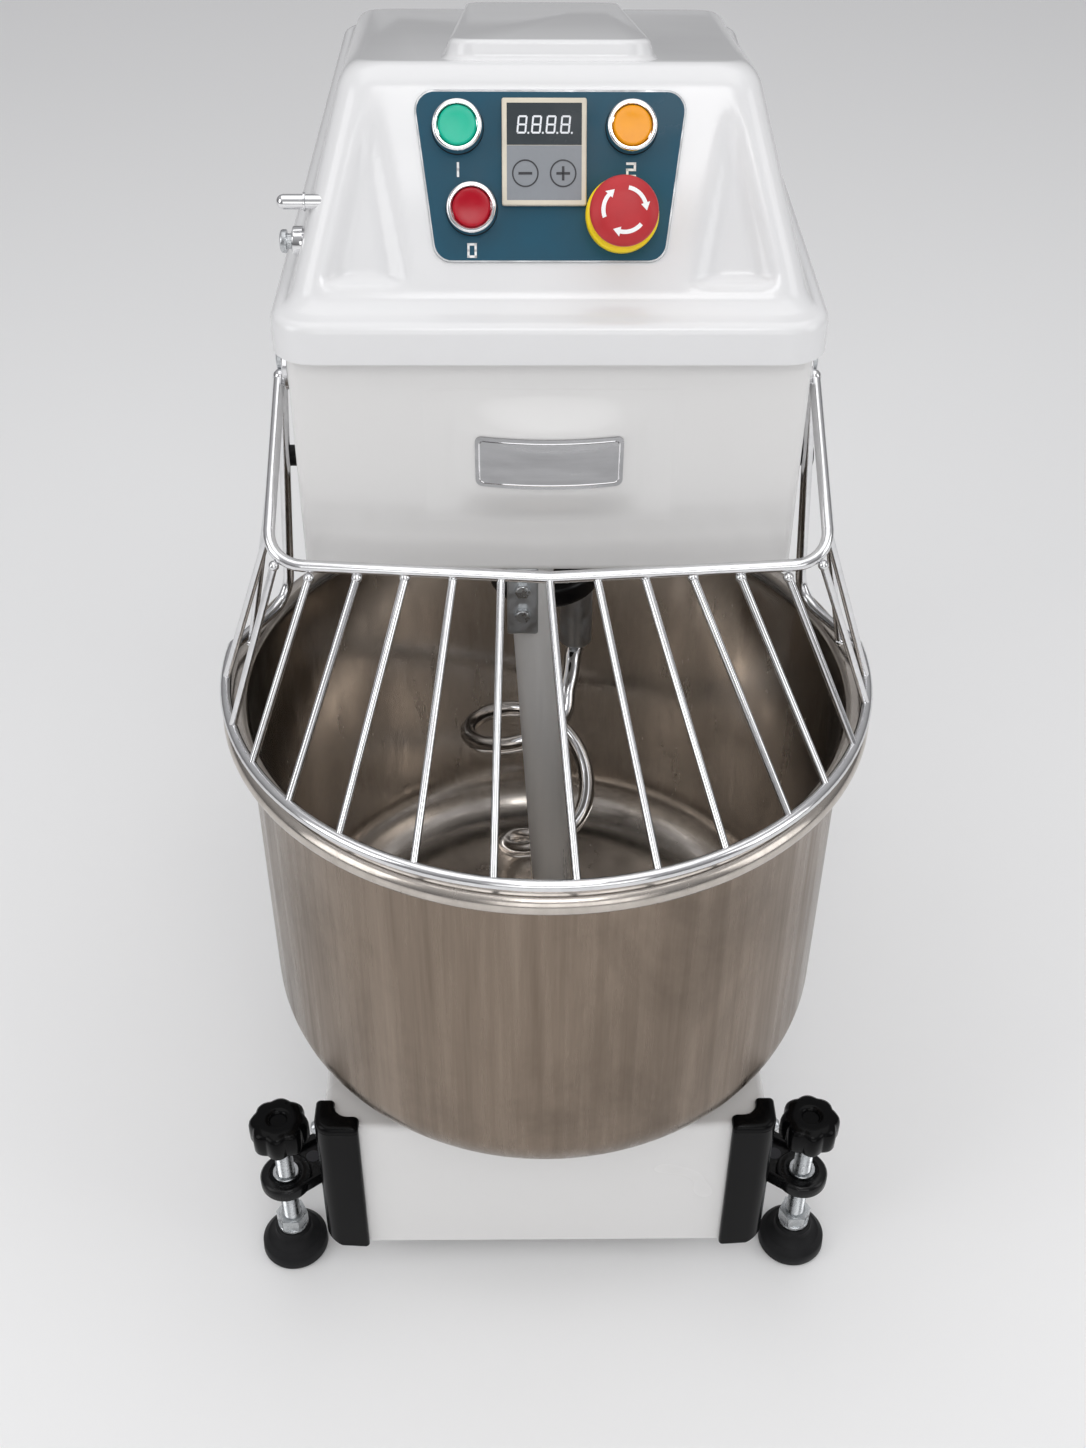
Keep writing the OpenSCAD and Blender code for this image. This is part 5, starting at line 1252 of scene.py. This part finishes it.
# %% Cast foot brackets
bracket_low, bracket_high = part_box("foot_brackets")
foot_x, foot_y, _ = joints["right_foot_turn"]["pos_m"]
foot_at = {m: Vector((m * abs(foot_x), foot_y, 0)) for m in (-1, 1)}
BOSS_R = 0.020
ARM_FRONT, ARM_BACK = 0.0045, 0.050
HOLE_AT = (-0.019, 0.018)
bm = bmesh.new()
hole_shade = bmesh.new()
for m in (-1, 1):
    place = Matrix.Translation(foot_at[m])
    wall = base_high.x - abs(foot_at[m].x)
    boss = [(BOSS_R * cos(radians(a)), BOSS_R * sin(radians(a))) for a in range(-100, 38, 6)]
    outline = boss + [(wall, ARM_BACK), (wall, ARM_FRONT)]
    body = [(m * x, y) for x, y in outline]
    bottom, height = bracket_low.z, bracket_high.z
    plate(bm, body, bottom + 0.001, height - 0.0050, place)
    rim_out = [(0.0079, height - 0.0020), (0.0112, height - 0.0012), (0.0128, height),
               (0.0170, height - 0.0002), (0.0188, height - 0.0012), (BOSS_R, height - 0.0032),
               (BOSS_R, bottom + 0.0016), (0.0188, bottom), (0.0079, bottom)]
    spun(bm, rim_out, 64, place)
    back_rib = [(m * wall, ARM_BACK - 0.0075), (m * wall, ARM_BACK), (m * 0.0130, 0.0160),
                (m * 0.0105, 0.0110)]
    plate(bm, back_rib, bottom, height - 0.0004, place)
    front_rib = [(m * wall, ARM_FRONT), (m * wall, ARM_FRONT + 0.005), (m * -0.0100, -0.0130),
                 (m * -0.0040, -0.0195)]
    plate(bm, front_rib, bottom, height - 0.0004, place)
    block(bm, (min(m * wall, m * (wall + 0.004)), ARM_FRONT, bottom),
          (max(m * wall, m * (wall + 0.004)), ARM_BACK, height - 0.0002), place)
    # A dark disc of painted shade stands where the through hole is.
    hole = Matrix.Translation((m * HOLE_AT[0], HOLE_AT[1], 0))
    spun(hole_shade, [(0.0, height - 0.0052), (0.0054, height - 0.0052), (0.0054, height - 0.0048),
                (0.0, height - 0.0048)], 32, place @ hole, closed=False)
piece("cast_brackets", bm, "frame", black_casting, ("foot_brackets",), bevel=0.0012,
      sharp=35)
piece("bracket_hole_shade", hole_shade, "frame", black_print_and_shade, sharp=35)

# %% [markdown]
# ## Feet
# A stepped rubber pad stands under a threaded rod with its nut and washer. The star knob on
# top has eight lobes, a soft dome and a dimple. The thread is a real helix of one ridge.

# %% Threaded rod with nut and washer
ROD_R = 0.0070
PITCH = 0.0020
pad_low, pad_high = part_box("right_foot_pad")
screw_low, screw_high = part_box("right_foot_screw")
knob_low, knob_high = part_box("right_foot_knob")


def thread(bm, z0, z1, radius, place):
    """A screw thread: one ridge wound up a core."""
    core = radius - 0.0008
    spun(bm, [(0.0, z0), (core, z0), (core, z1), (0.0, z1)], 24, place, closed=False)
    turns = (z1 - z0 - PITCH) / PITCH
    steps = 20
    rows = []
    for k in range(int(turns * steps) + 1):
        a, z = 2 * pi * k / steps, z0 + PITCH * 0.5 + PITCH * k / steps
        ridge = ((core - 0.0001, -PITCH * 0.42), (radius, 0), (core - 0.0001, PITCH * 0.42))
        rows.append([bm.verts.new(place @ Vector((r * cos(a), r * sin(a), z + dz))) for r, dz in ridge])
    for p, q in zip(rows, rows[1:]):
        for k in range(3):
            bm.faces.new((p[k], q[k], q[(k + 1) % 3], p[(k + 1) % 3]))
    bm.faces.new(rows[0])
    bm.faces.new(list(reversed(rows[-1])))


def hex_nut(bm, z0, z1, across, place):
    """A hexagon nut with its corners turned off at both faces."""
    circle = across * 0.5 / cos(pi / 6)
    flats = [(circle * cos(pi / 3 * k), circle * sin(pi / 3 * k)) for k in range(6)]
    plate(bm, flats, z0, z1, place)
    dome = [(ROD_R + 0.0006, z1 - 0.0001), (across * 0.47, z1 - 0.0001), (across * 0.455, z1 + 0.0004),
            (ROD_R + 0.0010, z1 + 0.0004)]
    spun(bm, dome, 40, place)


NUT_ACROSS = 0.02165
foot_washer = [(ROD_R - 0.001, pad_high.z + 0.001), (0.0116, pad_high.z + 0.001),
               (0.012, pad_high.z + 0.0014), (0.012, pad_high.z + 0.0036),
               (0.0116, pad_high.z + 0.004), (ROD_R - 0.001, pad_high.z + 0.004)]
for m, name in ((-1, "left"), (1, "right")):
    place = Matrix.Translation(foot_at[m])
    bm = bmesh.new()
    thread(bm, screw_low.z, screw_high.z - 0.004, ROD_R, place)
    spun(bm, foot_washer, 48, place)
    hex_nut(bm, pad_high.z + 0.004, pad_high.z + 0.0146, NUT_ACROSS, place)
    piece(name + "_foot_rod", bm, name + "_foot_screw", zinc, (name + "_foot_screw",),
          sharp=30)

# %% Rubber pads
pad_r = (pad_high.x - pad_low.x) / 2
pad_side = [(0.0030, 0.0), (0.0008, 0.0010), (0.0, 0.0028), (0.0004, 0.0108), (0.0010, 0.0120),
            (0.0040, 0.0148), (0.0048, 0.0156), (0.0056, 0.0158), (0.0106, 0.0200), (0.0114, 0.0214),
            (0.0118, 0.0262), (0.0136, pad_high.z)]
pad = [(0.0, 0.0)] + [(pad_r - inset, z) for inset, z in pad_side]
pad += [(0.0073, pad_high.z), (0.0073, 0.0117), (0.0, 0.0117)]
for m, name in ((-1, "left"), (1, "right")):
    bm = bmesh.new()
    spun(bm, pad, 80, Matrix.Translation(foot_at[m]), closed=False)
    piece(name + "_rubber_foot", bm, name + "_foot_pad", black_rubber, (name + "_foot_pad",),
          sharp=30)

# %% Star knobs
LOBES = 8
knob_r = (knob_high.x - knob_low.x) / 2
levels = [(0.0, 0.90), (0.0014, 0.97), (0.0032, 0.995), (0.0100, 1.0), (0.0160, 0.995),
          (0.0190, 0.965), (0.0212, 0.90), (0.0226, 0.78), (0.0230, 0.62)]
AROUND = 160


def star(angle, share, level):
    """Radius of the knob at an angle: lobes at the side that fade towards the dome."""
    wave = 0.5 + 0.5 * cos(LOBES * angle)
    notch = 1 - wave ** 0.62
    return knob_r * share * (1 - 0.118 * notch * max(0.25, 1 - max(0, level - 0.019) / 0.006))


around = [2 * pi * k / AROUND for k in range(AROUND)]
dimple = ((0.0105, 0.0230), (0.0078, 0.0229), (0.0068, 0.0222), (0.0060, 0.0205))
for m, name in ((-1, "left"), (1, "right")):
    bm = bmesh.new()
    rows = []
    for level, share in levels:
        reach = [(a, star(a, share, level)) for a in around]
        rows.append([bm.verts.new((r * cos(a), r * sin(a), level)) for a, r in reach])
    for r, z in dimple:
        rows.append([bm.verts.new((r * cos(a), r * sin(a), z)) for a in around])
    skin(bm, rows)
    bmesh.ops.translate(bm, verts=bm.verts, vec=(foot_at[m].x, foot_at[m].y, knob_low.z))
    piece(name + "_star_knob", bm, name + "_foot_screw", black_moulding,
          (name + "_foot_knob",), sharp=50)

# %% Washers and domed screws
GUARD_SCREW = (0.170, base_low.y + 0.012, base_high.z - 0.014)
CLAMP_SCREW_X = -0.016
HEXAGON_R = 0.0053
washer = [(0.0073, bracket_high.z - 0.0018), (0.0099, bracket_high.z - 0.0012),
          (0.0100, bracket_high.z + 0.0010), (0.0096, bracket_high.z + 0.0015),
          (0.0073, bracket_high.z + 0.0015)]
head = [(0.0, 0.0040), (0.0020, 0.0040), (0.0024, 0.0030), (0.0026, 0.0040), (0.0036, 0.0036),
        (0.0047, 0.0022), (0.0050, 0.0006), (0.0050, 0.0), (0.0, 0.0)]
bm = bmesh.new()
for m in (-1, 1):
    spun(bm, washer, 48, Matrix.Translation(foot_at[m]))
    at = Matrix.Translation((m * GUARD_SCREW[0], *GUARD_SCREW[1:])) @ Matrix.Rotation(m * pi / 2, 4, "Y")
    spun(bm, head, 40, at, closed=False)
for z in (clamp_high.z - 0.022, clamp_high.z - 0.041):
    place = Matrix.Translation((CLAMP_SCREW_X, clamp_low.y, z)) @ Matrix.Rotation(pi / 2, 4, "X")
    hexagon = [(HEXAGON_R * cos(pi / 3 * k), HEXAGON_R * sin(pi / 3 * k)) for k in range(6)]
    plate(bm, hexagon, 0.0, 0.0036, place)
    spun(bm, [(0.0, 0.0034), (0.0043, 0.0034), (0.0038, 0.0039), (0.0, 0.0039)], 32, place, closed=False)
piece("screws_and_washers", bm, "frame", zinc, ("bright_fasteners",), sharp=30)

# %% [markdown]
# ## Screws of the covers
# The rear panel and the hood's lip are held by small pan-head screws with a cross recess.

# %% Cover screws
BACK_X = 0.1337
BACK_Z = (0.201, 0.4645, 0.728)
LIP_Y = (-0.1126, 0.2969)
LIP_Z = 0.751
pan_line = [(0.0, 0.0019), (0.0009, 0.0019), (0.0012, 0.0025), (0.0028, 0.0024), (0.0041, 0.0014),
            (0.0045, 0.0003), (0.0045, -0.0002), (0.0, -0.0002)]


def pan_screw(bm, cross, place):
    """A pan head, and two dark bars of painted shade that stand for its cross recess."""
    spun(bm, pan_line, 36, place, closed=False)
    # The dark bars are painted shade where the cross recess is.
    for a in (0, pi / 2):
        block(cross, (-0.0022, -0.0004, 0.0016), (0.0022, 0.0004, 0.00252),
              place @ Matrix.Rotation(a, 4, "Z"))


bm = bmesh.new()
cross = bmesh.new()
for x in (-BACK_X, BACK_X):
    for z in BACK_Z:
        place = Matrix.Translation((x, back_high.y, z)) @ Matrix.Rotation(-pi / 2, 4, "X")
        pan_screw(bm, cross, place)
for m in (-1, 1):
    for y in LIP_Y:
        place = Matrix.Translation((m * hood_high.x, y, LIP_Z)) @ Matrix.Rotation(m * pi / 2, 4, "Y")
        pan_screw(bm, cross, place)
piece("pan_screws", bm, "frame", zinc, ("cover_screws",), sharp=30)
# Painted shade of the cross recesses.
piece("screw_cross_shade", cross, "frame", black_plastic_and_shade)

# %% [markdown]
# ## Castors
# Forks are pressed steel with rounded edges, and wheels are a grey rubber tyre on a hub.

# %% Wheels
WHEEL_R = 0.025
HALF_W = 0.010
tyre = [(WHEEL_R - 0.0078, -HALF_W + 0.002), (WHEEL_R - 0.0066, -HALF_W)]
tyre += [(WHEEL_R - 0.0040, -HALF_W)] + arc((WHEEL_R - 0.0038, -HALF_W + 0.0038), 0.0038, -80, 0, 6)
tyre += arc((WHEEL_R - 0.0038, HALF_W - 0.0038), 0.0038, 0, 80, 6) + [(WHEEL_R - 0.0040, HALF_W)]
tyre += [(WHEEL_R - 0.0066, HALF_W), (WHEEL_R - 0.0078, HALF_W - 0.002)]
core = [(0.0044, -HALF_W), (0.0085, -HALF_W), (0.009, -HALF_W + 0.0005), (0.009, -HALF_W + 0.002),
        (WHEEL_R - 0.0078, -HALF_W + 0.0022), (WHEEL_R - 0.0076, 0.0),
        (WHEEL_R - 0.0078, HALF_W - 0.0022), (0.009, HALF_W - 0.002), (0.009, HALF_W - 0.0005),
        (0.0085, HALF_W), (0.0044, HALF_W)]
for name in ("front_left", "front_right", "rear_left", "rear_right"):
    low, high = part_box(name + "_wheel")
    place = Matrix.Translation((low + high) / 2) @ Matrix.Rotation(pi / 2, 4, "Y")
    bm = bmesh.new()
    spun(bm, tyre, 72, place)
    piece(name + "_tyre", bm, name + "_wheel", wheel_rubber, (name + "_wheel",),
          sharp=35)
    bm = bmesh.new()
    spun(bm, core, 48, place)
    piece(name + "_rim", bm, name + "_wheel", black_plastic_and_shade, sharp=30)

# %% [markdown]
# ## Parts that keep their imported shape
# What sits inside the covers, and plain pins and plates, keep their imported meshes. Each still
# gets a worked finish of its own.

# %% Finishes for the carried-over nodes
KEPT = {
    "chassis": (frame_primer, "frame_paint"), "button_bodies": (black_plastic_and_shade, "switch_plastic"),
    "electrical_box": (frame_primer, "frame_paint"), "contactors": (black_plastic_and_shade, "switch_plastic"),
    "spindle_housing": (machined, "machined_iron"), "bearings": (ground_steel, "bearing_steel"),
    "bowl_bearing_housing": (machined, "machined_iron"), "motor": (motor_enamel, "motor_paint"),
    "drive_belts": (black_rubber, "belt_rubber"), "guard_bushes": (machined, "machined_iron"),
    "guard_stops": (black_rubber, "black_rubber"), "castor_mounts": (zinc, "bright_zinc"),
    "bowl_flange": (machined, "machined_iron"), "bowl_shaft": (ground_steel, "ground_steel"),
    "bowl_pulley": (machined, "machined_iron"), "hook_spindle": (ground_steel, "ground_steel"),
    "hook_pulley": (machined, "machined_iron"), "layshaft": (machined, "machined_iron"),
    "countershaft": (machined, "machined_iron"), "motor_rotor": (ground_steel, "ground_steel"),
    "left_castor_fork": (zinc, "bright_zinc"), "right_castor_fork": (zinc, "bright_zinc"),
}
for node, (material, slot) in KEPT.items():
    obj = frame["nodes"][node]
    obj.data.materials.clear()
    obj.data.materials.append(material)
stood_for = {name for obj in bpy.data.objects for name in obj.get("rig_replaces", [])}
print("nodes with no finish:", sorted(set(frame["nodes"]) - set(KEPT) - stood_for))

# %% [markdown]
# ## Floor, light and camera
# A plain pale floor, a large soft light overhead, two softer ones at the sides and a small one
# that reaches into the bowl. None of this is part of the machine.

# %% The floor
floor_mat, tree, shader = finish("floor_card", (0.90, 0.90, 0.90), 0.0, 0.9)
cloud = pattern(tree, 2, detail=2)
tree.links.new(spread(tree, cloud, 0.86, 0.94), shader.inputs["Roughness"])
bm = bmesh.new()
bmesh.ops.create_grid(bm, x_segments=2, y_segments=2, size=FLOOR_REACH)
mesh = bpy.data.meshes.new("floor")
bm.to_mesh(mesh)
bm.free()
floor = bpy.data.objects.new("floor", mesh)
scene.collection.objects.link(floor)
mesh.materials.append(floor_mat)

# %% A pale room, seen as white behind the machine
world = bpy.data.worlds.new("room")
scene.world = world
world.use_nodes = True
tree = world.node_tree
tree.nodes.clear()
kinds = ("OutputWorld", "TexCoord", "SeparateXYZ", "ValToRGB", "Background", "Background", "LightPath",
         "MixShader")
output, place, split, ramp, soft, plain, path, mix = (tree.nodes.new("ShaderNode" + kind) for kind in kinds)
ramp.color_ramp.elements[0].position = 0.0
ramp.color_ramp.elements[0].color = (0.30, 0.30, 0.31, 1)
ramp.color_ramp.elements[1].position = 0.9
ramp.color_ramp.elements[1].color = (0.95, 0.95, 0.97, 1)
tree.links.new(place.outputs["Generated"], split.inputs["Vector"])
tree.links.new(split.outputs["Z"], ramp.inputs["Fac"])
tree.links.new(ramp.outputs["Color"], soft.inputs["Color"])
soft.inputs["Strength"].default_value = 0.60
plain.inputs["Color"].default_value = (1, 1, 1, 1)
plain.inputs["Strength"].default_value = 1.0
tree.links.new(path.outputs["Is Camera Ray"], mix.inputs["Fac"])
tree.links.new(soft.outputs["Background"], mix.inputs[1])
tree.links.new(plain.outputs["Background"], mix.inputs[2])
tree.links.new(mix.outputs["Shader"], output.inputs["Surface"])


# %% Soft lights
def lamp(name, at, aim, size, watts):
    """A square soft light at a place, aimed at a point."""
    data = bpy.data.lights.new(name, "AREA")
    data.shape = "RECTANGLE"
    data.size, data.size_y = size
    data.energy = watts
    obj = bpy.data.objects.new(name, data)
    obj.location = at
    obj.rotation_euler = (Vector(aim) - Vector(at)).to_track_quat("-Z", "Y").to_euler()
    scene.collection.objects.link(obj)


lamp("overhead", (0.1, 0.0, 4.0), (0, 0, 0.5), (4.0, 4.0), 46)
lamp("left_side", (-2.4, -1.3, 1.7), (0, 0, 0.5), (1.4, 2.0), 18)
lamp("right_side", (2.4, -0.9, 1.5), (0, 0, 0.4), (1.2, 1.8), 11)
lamp("front", (0.3, -2.8, 1.2), (0, 0, 0.45), (2.2, 1.4), 12)
lamp("into_bowl", (0.1, -1.5, 2.1), (0, -0.05, 0.35), (0.7, 0.5), 5)

# %% Colour handling and camera
scene.view_settings.view_transform = "Standard"
CAMERA_AT = (-0.0171, -1.0464, 1.1767)
PITCH_DOWN = radians(39.19)
YAW = 0.017
ROLL = 0.008
forward = Vector((sin(YAW) * cos(PITCH_DOWN), cos(YAW) * cos(PITCH_DOWN), -sin(PITCH_DOWN)))
right = Vector((cos(YAW), -sin(YAW), 0))
up = right.cross(forward)
level_right = cos(ROLL) * right + sin(ROLL) * up
level_up = -sin(ROLL) * right + cos(ROLL) * up
camera = bpy.data.cameras.new("camera")
camera.lens = 41.04
camera.sensor_width = 36
camera.sensor_fit = "AUTO"
camera.clip_start, camera.clip_end = 0.05, 50
viewer = bpy.data.objects.new("camera", camera)
turn = Matrix((level_right, level_up, -forward)).transposed().to_4x4()
viewer.matrix_world = Matrix.Translation(CAMERA_AT) @ turn
scene.collection.objects.link(viewer)
scene.camera = viewer
